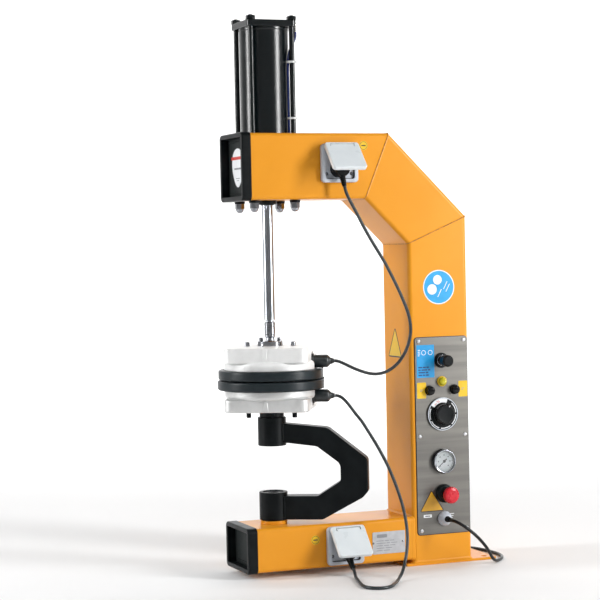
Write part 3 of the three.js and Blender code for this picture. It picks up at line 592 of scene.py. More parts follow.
# ---------------------------------------------------------------- frame
FOOT_Z = BASE_THICKNESS + 0.3
UPPER_CAP = {"front": -402, "seat": -383, "back": -380}
LOWER_CAP = {"front": -407, "seat": -387, "back": -384}
CAP_WALL, CAP_MOUTH = 2, 9
SEAM = [(-4.5, 0.0), (-1.7, 0.5), (0.0, -0.15), (1.7, 0.5), (4.5, 0.0)]


def tube_loop(inner, outer, depth, grow, radius):
    """Round-cornered section between the tube's inner and outer line, (x, z) each, in a mitre's plane."""
    loop = []
    for s, y in rectangle(depth + 2 * grow, TUBE + 2 * grow, radius, x=depth / 2):
        t = s / depth
        loop.append((inner[0] + (outer[0] - inner[0]) * t, y, inner[1] + (outer[1] - inner[1]) * t))
    return loop


def column_stations():
    """(inner corner, outer corner, growth) from the foot, over both mitres, to the upper arm's mouth."""
    slant = sqrt(0.5)
    upper_front = UPPER_CAP["seat"] + 0.3
    ways = [(0, 1), (-slant, slant), (-1, 0)]
    mitres = [((0, UPPER_Z - KNEE), (TUBE, UPPER_Z - KNEE + MITRE)),
        ((-KNEE, UPPER_Z), (MITRE - KNEE, UPPER_TOP))]
    stations = [((0, FOOT_Z), (TUBE, FOOT_Z), 0)]
    for (inner, outer), before, after in zip(mitres, ways, ways[1:]):
        for along, grow in SEAM:
            way = before if along < 0 else after
            shift = (way[0] * along, way[1] * along)
            moved_pair = [(p[0] + shift[0], p[1] + shift[1]) for p in (inner, outer)]
            stations.append((*moved_pair, grow))
    stations.append(((upper_front, UPPER_Z), (upper_front, UPPER_TOP), 0))
    return stations, mitres


def ties():
    return [(RAM_X + i * TIE_OFFSET, j * TIE_OFFSET) for i, j in ((-1, -1), (1, -1), (1, 1), (-1, 1))]


def side_hole(outline, x, z):
    return moved(prism(outline, -12, 5), outward(x, z))


def socket_hole(x, z):
    return side_hole(circle(30), x, z - SOCKET_BORE_DROP)


def build_column():
    stations, mitres = column_stations()
    outer = [tube_loop(a, b, TUBE, grow, EDGE) for a, b, grow in stations]
    corners = [stations[0][:2], *mitres, stations[-1][:2]]
    inner = [tube_loop(a, b, TUBE, -WALL, EDGE - WALL) for a, b in corners]
    through_top = (UPPER_TOP - 12, UPPER_TOP + 5)
    through_floor = (UPPER_Z - 5, UPPER_Z + 10)
    cuts = [prism(circle(57, 96, RAM_X), *through_top),
        prism(circle(4, 24, RAM_X + HOSE_HOLE[0], HOSE_HOLE[1]), *through_top),
        prism(circle(22, 64, RAM_X), *through_floor),
        *[prism(circle(6.5, 32, x, y), through_floor[0], through_top[1]) for x, y in ties()],
        side_hole(rectangle(96, 420, 4), CONTROL_X, 300), socket_hole(*UPPER_SOCKET)]
    column = piece("frame_column_and_upper_arm", [stack(outer + inner[::-1], closed=True)], ORANGE,
        replaces=["frame_weldment"], cuts=cuts)
    # Second finish of the column: near-black painted shade for the upper arm's inner faces.
    column.data.materials.append(TUBE_INSIDE_SHADE)
    seams = [sweep(tube_loop(*mitre, TUBE, 0.1, EDGE), 1.25, 10, closed=True) for mitre in mitres]
    piece("mitre_welds", [side_by_side(seams)], WELD)
    # Inner faces of the upper arm get the painted shade.
    to_machine = TO_ROW.inverted()
    for face in column.data.polygons:
        x, y, z = to_machine @ face.center
        if x < -40 and abs(y) < HALF - WALL + 0.5 and UPPER_Z + WALL - 0.5 < z < UPPER_TOP - WALL + 0.5:
            face.material_index = 1


def build_lower_arm():
    front = LOWER_CAP["seat"] + 0.3
    height = LOWER_TOP - LOWER_Z
    ends = [((x, LOWER_Z), (x, LOWER_TOP)) for x in (front, -0.2)]
    outer = [tube_loop(*end, height, 0, EDGE) for end in ends]
    inner = [tube_loop(*end, height, -WALL, EDGE - WALL) for end in reversed(ends)]
    cuts = [socket_hole(*LOWER_SOCKET), prism(circle(BUSH_BORE_R, 48, RAM_X), 100, 120)]
    piece("frame_lower_arm", [stack(outer + inner, closed=True)], ORANGE, cuts=cuts)

    middle = (LOWER_Z + LOWER_TOP) / 2
    bead = [(-5.5, -0.4, -0.4), (-4.2, 0.15, 0.8), (-2.2, 0.55, 2.0), (-0.2, 0.05, 3.6), (1.8, 0.55, 4.4),
        (4.5, -0.4, 4.6)]
    loops = []
    for x, aside, up in bead:
        outline = rectangle(TUBE + 2 * aside, height + 2 * up, EDGE + up, 0, middle)
        loops.append([(x, y, z) for y, z in outline])
    piece("lower_arm_weld", [stack(loops)], ORANGE)


def build_foot():
    outline = rectangle(BASE_BACK - BASE_FRONT, TUBE, 2.5, (BASE_BACK + BASE_FRONT) / 2)
    anchors = [prism(circle(7, 40, 190, y), -2, BASE_THICKNESS + 2) for y in (-55, 55)]
    piece("foot_plate", [prism(outline, 0, BASE_THICKNESS, edge=0.8)], ORANGE, replaces=["base_plate"],
        cuts=anchors)
    bead = [(BASE_THICKNESS - 0.3, 4.6, 0.3), (7.6, 3.4, 0.8), (9.4, 1.5, 0.9), (11.2, 0.4, 0.3),
        (12.4, -0.4, -0.4)]
    loops = [level(rectangle(TUBE + 2 * out, TUBE + 2 * aside, EDGE, HALF), z) for z, out, aside in bead]
    piece("foot_weld", [stack(loops)], ORANGE)


def build_end_cap(name, cap, z0, z1):
    """Deep moulded frame over a tube end, with its sunk panel and the groove for the tube's wall."""
    width, height = TUBE + 2 * CAP_WALL, z1 - z0 + 2 * CAP_WALL
    lip, mouth = 3.2, CAP_WALL + CAP_MOUTH
    groove = (CAP_WALL - 0.3, CAP_WALL + WALL + 0.3)
    section = [(cap["back"], 0, 0.6), (cap["front"], 0, lip), (cap["front"], mouth, 2.2),
        (cap["back"], mouth, 0.5), (cap["back"], groove[1], 0), (cap["seat"], groove[1], 0),
        (cap["seat"], groove[0], 0), (cap["back"], groove[0], 0)]
    middle = (z0 + z1) / 2
    loops = []
    for x, inward in rounded(section, 5):
        outline = rectangle(width - 2 * inward, height - 2 * inward, max(2.0, 12 - inward), 0, middle)
        loops.append([(x, y, z) for y, z in outline])
    piece(f"{name}_moulding", [stack(loops, closed=True)], BLACK_PLASTIC, replaces=[f"{name}_end_cap"])
    panel = rectangle(width - 2 * mouth + 1, height - 2 * mouth + 1, 2, 0, middle)
    sheet = stack([[(x, y, z) for y, z in panel] for x in (cap["seat"], cap["back"] - 0.1)])
    piece(f"{name}_sunk_panel", [sheet], GREY_PANEL)
    rim = [inset(panel, d) for d in (6, 7, 8.2, 9.2)]
    rises = (-0.2, 1.0, 1.0, -0.2)
    ridge = stack([[(cap["seat"] - rise, y, z) for y, z in loop] for loop, rise in zip(rim, rises)])
    piece(f"{name}_panel_ridge", [ridge], GREY_PANEL)


# ---------------------------------------------------------------- air cylinder
HEAD, HEAD_THICKNESS = 118, 15
REAR_HEAD_Z, FRONT_HEAD_Z = 1242, 857.3


def build_cylinder():
    bottom, top = FRONT_HEAD_Z + HEAD_THICKNESS + 0.3, REAR_HEAD_Z - 0.3
    barrel = lathe([(50, bottom), (56, bottom, 0.6), (56, top, 0.6), (50, top)], 144)
    piece("cylinder_barrel", [barrel], BLACK_GLOSS, place=RAM, replaces=["cylinder_tube"])

    square = rectangle(HEAD, HEAD, 10)
    for name, z in (("rear", REAR_HEAD_Z), ("front", FRONT_HEAD_Z)):
        cuts = [prism(circle(6.4, 32, x - RAM_X, y), z - 1, z + HEAD_THICKNESS + 1) for x, y in ties()]
        if name == "front":
            cuts.append(prism(circle(17.8), z - 1, z + HEAD_THICKNESS + 1))
        head = prism(square, z, z + HEAD_THICKNESS, edge=1.6)
        piece(f"cylinder_head_{name}", [head], BLACK_GLOSS, place=RAM, replaces=[f"cylinder_{name}_cap"],
            cuts=cuts)
    seal = lathe([(50, bottom - 2), (57.2, bottom - 2), (57.2, bottom + 5, 1.2), (56.1, bottom + 6.5),
        (50, bottom + 6.5)], 96)
    piece("cylinder_front_joint", [seal], BLACK_GLOSS, place=RAM)
    seal = lathe([(50, top - 6.5), (56.1, top - 6.5), (57.2, top - 5, 1.2), (57.2, top), (50, top)], 96)
    piece("cylinder_rear_joint", [seal], BLACK_GLOSS, place=RAM)

    guide = [(12.8, 843), (19.5, 843, 0.8), (21.5, 845, 0.8), (21.5, 857), (17.5, 857), (17.5, 872.3),
        (12.8, 872.3)]
    piece("rod_guide", [lathe(guide, 96)], BLACK_PLASTIC, place=RAM, replaces=["rod_bush"])
    wiper = lathe([(12.7, 841.2), (15.2, 841.2, 0.6), (16.4, 843.2), (12.7, 843.2)], 72)
    piece("rod_wiper", [wiper], RUBBER, place=RAM)


def build_tie_rods():
    for i, (x, y) in enumerate(ties(), 1):
        place = offset(x, y, 0)
        head_z = REAR_HEAD_Z + HEAD_THICKNESS
        washer = lathe([(5, head_z), (11.6, head_z), (11.6, head_z + 1.2, 0.4), (5, head_z + 1.2)], 64)
        shank = lathe([(0, 829), (5.5, 829), (6, 830), (6, head_z + 3), (0, head_z + 3)], 48)
        cap = hex_bar(19, head_z + 1.2, 1266)
        tip = lathe([(0, 1264), (5.4, 1264), (5.4, 1267, 0.8), (4.2, 1268), (0, 1268)], 40)
        piece(f"tie_bar_{i}", [shank, cap, tip], BLACK_GLOSS, place=place, replaces=[f"tie_rod_{i}"])
        piece(f"tie_bar_washer_{i}", [washer], BLACK_GLOSS, place=place)
        collar = lathe([(6.4, 846), (12, 846, 0.8), (12, 851.6, 0.8), (6.4, 851.6)], 64)
        piece(f"tie_nut_washer_{i}", [collar], BLACK_CAST, place=place)
        crown = lathe([(0, 825), (4.6, 825.4, 2), (8.1, 828.6, 3), (9.4, 834), (0, 834)], 64)
        piece(f"tie_nut_{i}", [hex_bar(19, 833.4, 846, high=False), crown], ZINC, place=place,
            replaces=[f"tie_rod_nut_{i}"], cuts=[prism(circle(6.3, 32), 829, 852)])


def build_air_line():
    port = Vector((HEAD / 2 + 0.3, -25, REAR_HEAD_Z + HEAD_THICKNESS / 2))
    across = moved(hex_bar(11, 0, 7), Matrix.Translation(port) @ quarter_turn("Y"))
    bend = (port.x + 8, port.y, port.z)
    down = shifted(lathe([(0, -16), (4.2, -16), (4.5, -15), (4.5, 5, 1.5), (0, 5)], 48), *bend)
    collar = shifted(lathe([(0, -13.5), (5.4, -13.5, 0.6), (5.4, -9, 0.6), (0, -9)], 48), *bend)
    piece("air_fitting", [across, down, collar], BRASS, place=RAM, replaces=["air_elbow"])
    route = [(port.x + 8, port.y, port.z - 16.3), (port.x + 7.5, port.y - 1, 1222), (58, -31, 1206),
        (49, -37, 1190), (42.5, -42.5, 1172), *[(*HOSE_HOLE, z) for z in (1150, 1100, 1050, 990)]]
    piece("air_line", [sweep(smooth_route(route), HOSE_D / 2, 20)], HOSE, place=RAM, replaces=["air_hose"])
    around_both = rounded([(34.5, -42, 4), (38, -51.5, 4), (50, -57.6, 6.5), (57.4, -50, 6.5),
        (52, -40.6, 6.5)])
    for i, z in enumerate((1161, 1034), 1):
        band = prism(around_both, z, z + 4.5, edge=0.5)
        lock = shifted(prism(rectangle(5, 6, 1), 0, 4.5, edge=0.5), 57.5, -52, z)
        piece(f"line_tie_{i}", [band, lock], TIE_WHITE, place=RAM)


# ---------------------------------------------------------------- ram
FLANGE_Z = 520.3


def build_ram():
    rod = [(0, 576.6), (8.5, 576.6), (8.5, 578.3), (12.5, 579.6, 0.6), (12.5, 879.7), (8, 879.7), (8, 926),
        (6.5, 928), (0, 928)]
    piece("chrome_rod", [lathe(rod, 96)], CHROME, "ram", place=RAM, replaces=["piston_rod"])
    foot = [(0, 0), (28, 0), (29, 0.8, 0.5), (29, 10.4, 0.8), (27.8, 11.6, 0.6), (13, 11.6, 1.5),
        (10.5, 13, 1.5), (9.6, 19, 1.2), (11.6, 21, 0.8), (11.6, 26, 0.8), (12.5, 28, 0.6), (12.5, 43, 0.4),
        (11.7, 44, 0.4), (11.7, 46, 0.4), (12.5, 47, 0.4), (12.5, 53.4, 0.6), (10, 55.4), (10, 56), (0, 56)]
    place = RAM @ about_z(SWING) @ offset(0, 0, FLANGE_Z)
    grub = moved(prism(circle(2.6, 24), 8, 14), offset(0, 0, 36) @ quarter_turn("X"))
    piece("rod_foot", [lathe(foot, 96)], ZINC, "ram", place=place, replaces=["rod_end"], cuts=[grub])
    for i, x in enumerate((-21, 21), 1):
        piece(f"rod_foot_screw_{i}", [shifted(cap_screw(5, 8), x, 0, 11.4)], ZINC, "ram", place=place)


# ---------------------------------------------------------------- platens
PLATEN_GAP, RING_HEIGHT, SKIRT_HEIGHT = 1.2, 21.8, 21
BOX_HEIGHT = {"upper": 31, "lower": 26}
HOUSING_HALF, HOUSING_CORNER, SKIRT_R = 96, 19, 106
GLAND_OFFSET, GLAND_TIP = 39.5, 146


def build_platen(side, body, ring_r, place):
    """One platen, built upwards from the meeting plane; the lower one is its mirror image."""
    ring_top = PLATEN_GAP + RING_HEIGHT
    skirt_top = ring_top + SKIRT_HEIGHT
    top = skirt_top + BOX_HEIGHT[side]
    half = HOUSING_HALF
    # Upper platen: lighter copy, painted light; lower platen: darker copy, painted shade.
    metal = CAST if side == "upper" else CAST_PAINTED_SHADE

    outline = rectangle(2 * half, 2 * half, HOUSING_CORNER, steps=10)
    block = prism(outline, skirt_top - 4, top, edge=3.6, steps=6)
    taper = rounded([(-2.8, -26, 2), (2.8, -26, 2), (6.5, -1.5, 2.4), (-6.5, -1.5, 2.4)], 5)
    rib = moved(prism(taper, -4, 1.5, edge=1.2, steps=4), offset(0, -half, top) @ quarter_turn("X"))
    boss = lathe([(0, top - 6), (37, top - 6, 3), (31, top - 0.6, 3), (31, top), (0, top)], 96)
    arch = rounded([(-23, -25, 0), (23, -25, 0), (23, 23, 22.9), (-23, 23, 22.9)], 14)
    arch_place = offset(half - 3.2, 0, GLAND_OFFSET) @ quarter_turn("Z") @ quarter_turn("X")
    pocket = moved(prism(arch, 0, 30), arch_place)
    bore = prism(circle(90), ring_top - 2, top - 10)
    inlet = moved(prism(circle(9, 40), 60, 110), offset(0, 0, GLAND_OFFSET) @ quarter_turn("Y"))
    piece(f"{side}_casting", [block, rib, boss], metal, body, place=place, replaces=[f"{side}_housing"],
        cuts=[pocket, bore, inlet], sharp=28)

    skirt = lathe([(88, ring_top + 0.3), (SKIRT_R, ring_top + 0.3, 0.6), (SKIRT_R, skirt_top - 0.5, 9),
        (88, skirt_top - 0.5)], 160, steps=7)
    notch = moved(prism(inset(arch, -1.5), 0, 30), arch_place)
    piece(f"{side}_casting_skirt", [skirt], metal, body, place=place, cuts=[notch])

    ring = [(98.5, PLATEN_GAP), (ring_r, PLATEN_GAP, 3.6), (ring_r, ring_top, 5), (98.5, ring_top)]
    piece(f"{side}_clamp_ring", [lathe(ring, 192, steps=7)], RUBBER, body, place=place,
        replaces=[f"{side}_heater_ring"])
    clip_place = about_z(20) @ offset(ring_r - 1, 0, PLATEN_GAP + RING_HEIGHT / 2) @ quarter_turn("Z")
    clip = moved(prism(rectangle(17, 26, 1.2), 0, 2.6, edge=0.7), clip_place @ quarter_turn("X"))
    piece(f"{side}_ring_clip", [clip], BLACK_CAST, body, place=place)
    plate = [(0, PLATEN_GAP), (98.2, PLATEN_GAP, 0.6), (98.2, 14, 0.6), (84, 14), (84, 9), (60, 9), (60, 14),
        (0, 14)]
    piece(f"{side}_hot_plate", [lathe(plate, 160)], MACHINED, body, place=place,
        replaces=[f"{side}_heater_plate"])

    build_platen_gland(side, body, place)
    for i, x in enumerate((-53, 53), 1):
        tip = top + (10 if side == "upper" else 19)
        stud = shifted(lathe([(0, top - 1), (5.6, top - 1), (5.6, tip, 0.8), (2.6, tip), (2.6, tip - 2),
            (0, tip - 2)], 40), x)
        piece(f"{side}_stud_{i}", [stud], ZINC if side == "upper" else BLACK_CAST, body, place=place)


def build_platen_gland(side, body, place):
    along = place @ offset(0, 0, GLAND_OFFSET) @ quarter_turn("Y")
    half = HOUSING_HALF
    flange = lathe([(0, half - 3), (17.6, half - 3), (17.6, half + 3.4, 1.4), (14, half + 4.2, 0.8),
        (0, half + 4.2)], 80)
    bottle = lathe([(0, half - 12), (8.5, half - 12), (8.5, half), (14.1, half + 2), (14.6, half + 8, 1),
        (14.6, half + 35, 7), (8.2, half + 41, 1.5), (7, half + 43), (0, half + 43)], 96)
    piece(f"{side}_gland_body", [flange, bottle], GLAND, body, place=along, replaces=[f"{side}_gland"])
    nut = hex_bar(13.4, half + 40.5, half + 46.5)
    nozzle = lathe([(0, half + 44), (5.8, half + 44), (5.2, GLAND_TIP, 0.8), (0, GLAND_TIP)], 48)
    return piece(f"{side}_gland_nut", [nut, nozzle], GLAND, body, place=along)


# ---------------------------------------------------------------- gooseneck
def build_gooseneck():
    outline = rounded([(0, 124, 0), (115, 124, 20), (207, 174, 22), (219.5, 188, 8), (219.5, 262, 16),
        (129, 334, 26), (0, 347, 0), (0, 304, 0), (104, 291, 16), (157, 251, 20), (157, 212, 10),
        (104, 178, 10), (0, 178, 0)], 8)
    plate = moved(prism(outline, -20, 20, edge=3.2, steps=5), quarter_turn("X"))
    bosses = [prism(circle(32.5, 96), z0, z1, edge=1.8, steps=4) for z0, z1 in ((123, 187), (293, 358))]
    bores = [prism(circle(BUSH_BORE_R, 64), 122, 176), prism(circle(12.5, 64), 170, 190),
        prism(circle(BUSH_BORE_R, 64), 292, 360)]
    recess = lathe([(0, 184.5), (24, 184.5), (25.5, 190), (0, 190)], 80)
    piece("gooseneck_casting", [plate, *bosses], BLACK_CAST, "swing_arm", place=ARM, replaces=["gooseneck"],
        cuts=[*bores, recess])
    for name, low, high in (("lower", 124.5, 177.5), ("upper", 305.5, 345)):
        seam = []
        for side in (-1, 1):
            ends = [Vector((33.2 * cos(a), side * 33.2 * sin(a), 0)) for a in (radians(38.5), radians(33.5))]
            foot = (ends[0] + ends[1]) / 2
            path = [foot + Vector((0, 0, low + (high - low) * k / 12)) for k in range(13)]
            seam.append(sweep(path, 2.4, 12))
        piece(f"gooseneck_weld_{name}", [side_by_side(seam)], BLACK_CAST, "swing_arm", place=ARM)

    post = [(0, 296), (15, 296, 1), (15, 358.3), (28, 358.3, 1), (28, 374.7, 1.2), (0, 374.7)]
    piece("platen_post", [lathe(post, 96)], BLACK_PLASTIC, "swing_arm", place=ARM,
        replaces=["lower_platen_post"])
    collar = lathe([(BUSH_BORE_R, 114.3), (31, 114.3), (31, 122.2, 2.2), (BUSH_BORE_R, 122.2)], 96)
    piece("swivel_collar", [collar], ORANGE, place=RAM, replaces=["pivot_collar"])
    pin = [(0, 103), (14, 103, 1), (15, 104), (15, 173, 1.4), (0, 175)]
    piece("swivel_pin", [lathe(pin, 64)], ZINC, place=RAM, replaces=["pivot_pin"])


# ---------------------------------------------------------------- control panel
PANEL_X, PANEL_Z = (11, 145), (71, 529)
VALVE_Z, LAMP_Z, FUSE_Z, TIMER_Z, GAUGE_Z, STOP_Z, GLAND_Z = 475, 426, 406, 350, 240, 165, 106
FUSE_OFFSET = 32


def control(z, x=CONTROL_X):
    return outward(x, z, PANEL_FACE)


def build_panel_plate():
    middle = (sum(PANEL_X) / 2, sum(PANEL_Z) / 2)
    outline = rectangle(PANEL_X[1] - PANEL_X[0], PANEL_Z[1] - PANEL_Z[0], 7, *middle)
    holes = [(11.8, CONTROL_X, VALVE_Z), (8.8, CONTROL_X, LAMP_Z), (8.8, CONTROL_X - FUSE_OFFSET, FUSE_Z),
        (8.8, CONTROL_X + FUSE_OFFSET, FUSE_Z), (17, CONTROL_X, TIMER_Z), (26.6, CONTROL_X, GAUGE_Z),
        (11.8, CONTROL_X, STOP_Z), (10.9, CONTROL_X + 1, GLAND_Z)]
    cuts = [prism(circle(r, 48, x, z), -1, 4) for r, x, z in holes]
    piece("panel_plate", [prism(outline, 0, 2, edge=0.45)], PANEL_STEEL, place=outward(0, 0, -HALF - 0.3),
        replaces=["control_panel"], cuts=cuts)
    rim = [inset(outline, d) for d in (-1.4, -1.2, -0.1, 0.3)]
    gasket = stack([level(o, z) for o, z in zip(rim, (0.02, 0.9, 1.1, 0.02))])
    piece("panel_gasket", [gasket], RUBBER, place=outward(0, 0, -HALF - 0.02))
    for i, x in enumerate((20.6, 136)):
        for k, z in enumerate((80, 300, 521)):
            dome, cross = pan_screw(4.4, 2.6)
            place = outward(x, z, PANEL_FACE) @ Matrix.Rotation(0.5 + 0.9 * (i + 2 * k), 4, "Z")
            piece(f"panel_screw_{i * 3 + k + 1}", [dome], SCREW, place=place, cuts=cross)


def build_valve():
    place = control(VALVE_Z)
    body = [(0, -55), (17, -55, 1.5), (17, -2.3), (9.2, -2.3), (9.2, 3), (12.6, 3, 0.4), (12.6, 5.6, 0.8),
        (4, 5.6), (4, 24), (0, 24)]
    piece("valve_nut_and_stem", [lathe(body, 96)], ZINC, place=place, replaces=["valve_body"])
    flange = lathe([(9.5, 0.1), (17.8, 0.1), (17.8, 2.8, 1.2), (9.5, 2.8)], 72)
    piece("valve_flange", [flange], BLACK_PLASTIC, place=place)
    knob = fluted([(0, 6), (9.2, 6, 0.8), (10, 14, 2), (13.2, 18, 2), (13.8, 21, 1), (13.8, 37, 1.6),
        (12.2, 39, 0.8), (0, 39)], 26, 0.5, 12.2)
    piece("valve_grip", [knob], BLACK_KNOB, "valve", place=place, replaces=["valve_knob"],
        cuts=[prism(circle(4.3, 40), 5, 25)])
    disc = lathe([(0, 38.7), (10.4, 38.7), (10.4, 39.25, 0.2), (0, 39.3)], 64)
    piece("valve_grip_disc", [disc], BLACK_PLASTIC, "valve", place=place)


def build_lamp():
    place = control(LAMP_Z)
    bezel = lathe([(8, -28), (8.2, -28), (8.2, 0.3), (12, 0.3, 0.4), (12, 3.2, 1), (10.2, 4.4, 0.5),
        (8, 4.4)], 80)
    piece("lamp_bezel", [bezel], YELLOW_FILM, place=place)
    dome = fluted([(0, -26), (7.9, -26), (7.9, 4), (9.8, 4.5), (9.9, 7, 1), (8.2, 10.6, 3), (4.6, 12.8, 3),
        (0, 13.5)], 20, 0.35, 6.5)
    piece("lamp_lens", [dome], LENS, place=place, replaces=["pilot_lamp"])


def build_fuse(name, side):
    place = control(FUSE_Z, CONTROL_X + side * FUSE_OFFSET)
    holder = [(5.3, -36), (8, -36), (8, 0.3), (11.6, 0.3, 0.5), (11.6, 2.9, 0.8), (5.3, 2.9)]
    piece(f"fuse_base_{name}", [lathe(holder, 64)], BLACK_PLASTIC, place=place,
        replaces=[f"fuse_holder_{name}"])
    cap = fluted([(0, -10), (4.9, -10), (4.9, 3.3), (10.8, 3.3, 0.5), (10.8, 8.5, 1.2), (9.4, 12.4, 2.5),
        (6, 14.3, 2), (0, 14.5)], 18, 0.45, 9)
    slot = prism(rectangle(11, 1.6, 0.5), 13.2, 16)
    piece(f"fuse_top_{name}", [cap], BLACK_KNOB, f"fuse_{name}", place=place, replaces=[f"fuse_cap_{name}"],
        cuts=[slot])


def ring_block(r0, r1, z0, z1, sides=96):
    return lathe([(r0, z0), (r1, z0), (r1, z1), (r0, z1)], sides)


def arc_block(r0, r1, start, end, z0, z1, steps=24):
    """Flat block between two radii and two angles in degrees."""
    turn = [radians(start + (end - start) * k / steps) for k in range(steps + 1)]
    outline = [(r1 * cos(a), r1 * sin(a)) for a in turn]
    outline += [(r0 * cos(a), r0 * sin(a)) for a in reversed(turn)]
    return prism(outline, z0, z1)


def build_timer():
    place = control(TIMER_Z)
    body = [(0, -48), (26, -48), (26, -7.5), (16, -7.5), (16, 0.3), (36.6, 0.3), (38.3, 1, 0.6),
        (38.3, 2.6, 0.8), (37, 4.3, 0.5), (36.2, 4.3), (36.2, 3.9), (3, 3.9), (3, 15), (0, 15)]
    piece("timer_dial", [lathe(body, 128)], BLACK_PLASTIC, place=place, replaces=["timer_body"])
    rim = lathe([(36.3, 3.9), (38.35, 3.9), (38.35, 4.9, 0.4), (36.3, 4.9, 0.3)], 128)
    piece("timer_rim", [rim], GREY_PLASTIC, place=place)
    zone = arc_block(27, 36, 70, 144, 3.95, 4.2)
    piece("timer_start_zone", [zone], WHITE_FILM, place=place)
    spots = ((29.5, 104), (32.5, 108), (29.5, 122))
    marks = [arc_block(r, r + 1.2, a, a + 12, 4.2, 4.32, 4) for r, a in spots]
    piece("timer_zone_marks", [side_by_side(marks)], RED_FILM, place=place)
    dashes = [arc_block(32.2, 34.4, a, a + 44, 3.95, 4.12, 12) for a in (-204, -152, -100, -48, 4)]
    piece("timer_scale", [side_by_side(dashes)], WHITE_FILM, place=place)
    skirt = fluted([(0, 5), (26, 5, 0.5), (26.4, 7, 0.8), (24.6, 9.2, 0.8), (23.6, 17, 1), (21.8, 19.3, 1.2),
        (0, 19.3)], 30, 0.7, 21)
    piece("timer_grip", [skirt], BLACK_KNOB, "timer", place=place, replaces=["timer_knob"],
        cuts=[prism(circle(3.3, 32), 4, 16)])
    dish = lathe([(0, 19.2), (19, 19.2), (19, 19.9, 0.5), (17.6, 19.9), (16.5, 19.4), (0, 19.4)], 96)
    piece("timer_grip_ring", [dish], BLACK_PLASTIC, "timer", place=place)
    line = prism(rectangle(1.4, 6.5, 0.4, 0, 20.4), 19.25, 19.6)
    piece("timer_grip_line", [line], WHITE_FILM, "timer", place=place @ about_z(-30))


def build_gauge():
    place = control(GAUGE_Z)
    case = [(0, -34), (25, -34, 2), (25, 0.3), (28.8, 0.3, 0.5), (28.8, 2.4, 0.5), (27.2, 3, 0.5),
        (27.2, 9, 0.4), (24.8, 9), (24.8, 5), (2, 5), (2, 5.9), (1.2, 8), (0, 8)]
    piece("gauge_housing", [lathe(case, 128)], BLACK_GLOSS, place=place, replaces=["gauge_case"])
    bezel = lathe([(24.4, 8.6), (27.9, 8.6, 0.5), (27.9, 11.4, 1.2), (26.2, 12.9, 0.8), (24.4, 12.6, 0.4)],
        128)
    piece("gauge_bezel", [bezel], CHROME, place=place)
    face = lathe([(2.2, 5.02), (24.7, 5.02), (24.7, 5.4), (2.2, 5.4)], 96)
    piece("gauge_face", [face], WHITE_FILM, place=place)
    start, sweep_angle, count = 225, 270, 30
    ticks = []
    for k in range(count + 1):
        a = start - sweep_angle * k / count
        long = k % 5 == 0
        ticks.append(arc_block(18.2 if long else 20.2, 22.6, a - 0.8, a + 0.8, 5.4, 5.5, 1))
    arc = arc_block(22.4, 22.9, start - sweep_angle, start, 5.4, 5.5, 60)
    piece("gauge_scale", [side_by_side([*ticks, arc])], BLACK_INK, place=place)
    patches = [arc_block(13.2, 15.6, start - 45 * k - 6, start - 45 * k + 6, 5.4, 5.5, 3) for k in range(7)]
    piece("gauge_marks", [side_by_side(patches)], GREY_INK, place=place)
    needle = rounded([(-8, -1.5, 0.6), (0, -0.9, 0), (20.5, -0.35, 0.2), (20.5, 0.35, 0.2), (0, 0.9, 0),
        (-8, 1.5, 0.6)], 3)
    hub = lathe([(2.1, 6), (3.4, 6), (3.4, 6.9, 0.3), (2.1, 6.9)], 48)
    blade = prism(needle, 6.05, 6.8)
    turned = place @ about_z(220)
    piece("gauge_pointer", [blade, hub], BLACK_INK, "needle", place=turned, replaces=["gauge_needle"],
        cuts=[prism(circle(2.1, 32), 5, 8)])
    lens = lathe([(0, 9.6), (24.2, 9.6, 0.3), (24.2, 10.6, 0.4), (12, 11.3, 20), (0, 11.5)], 96)
    piece("gauge_window", [lens], GLASS, place=place, replaces=["gauge_lens"])


def build_stop():
    place = control(STOP_Z)
    body = [(8.6, -22), (11, -22), (11, 0.3), (21.5, 0.3, 0.6), (21.5, 8.4, 1.4), (19.6, 11.6, 1.4),
        (16, 13.6, 1), (15.2, 21.6, 0.8), (8.6, 21.6)]
    ring = fluted(body, 36, 0.4, 20)
    piece("stop_collar", [ring], BLACK_PLASTIC, place=place, replaces=["estop_body"],
        cuts=[prism(circle(8.6, 48), -23, 22.5)])
    block = prism(rectangle(36, 44, 3), -50, -23, edge=1)
    piece("stop_contact_block", [block], BLACK_PLASTIC, place=place)
    button = fluted([(0, -10), (8, -10), (8, 27.5), (14.6, 29.4, 1.5), (18.4, 34, 2), (19.8, 38, 1.5),
        (19.8, 42, 2.5), (17.8, 46.2, 3), (12, 48.4, 2), (0, 49)], 22, 1.1, 15.5)
    piece("stop_mushroom", [button], RED_PLASTIC, "stop_button", place=place, replaces=["estop_button"])
    arrows = [arc_block(8.2, 10, a, a + 78, 48.2, 49.15, 8) for a in (15, 135, 255)]
    piece("stop_turn_marks", [side_by_side(arrows)], RED_PLASTIC, "stop_button", place=place)


def build_mains_gland():
    place = control(GLAND_Z, CONTROL_X + 1)
    body = fluted([(0, -18), (10, -18), (10, 0.3), (17.5, 0.3, 0.5), (17.4, 3.4, 1.5), (14.8, 8.6, 4),
        (11.2, 13.2, 3), (8.4, 15.6, 1.2), (0, 15.6)], 12, 0.7, 11)
    piece("mains_gland_nut", [body], GREY_PLASTIC, place=place, replaces=["mains_gland"])
    grips = ribs(5, 6.8, 17.4, -0.35, 2.8, 0.3, 0.7, (1.6, 2.0, 2.6))
    nozzle = [(0, 13), (7.2, 13), (7.2, 16.6, 0.8), *grips, (4.9, 32, 0.4), (0, 32)]
    return piece("mains_strain_relief", [lathe(nozzle, 48)], BLACK_PLASTIC, place=place)


def icon_rows(x, y, width, rows, tall=2.2, gap=4.6):
    """Rows of plain dashes that stand for small print."""
    out = []
    for k, lengths in enumerate(rows):
        left = x
        for share in lengths:
            out.append((left + width * share / 2, y - k * gap, width * share * 0.86, tall))
            left += width * share
    return out


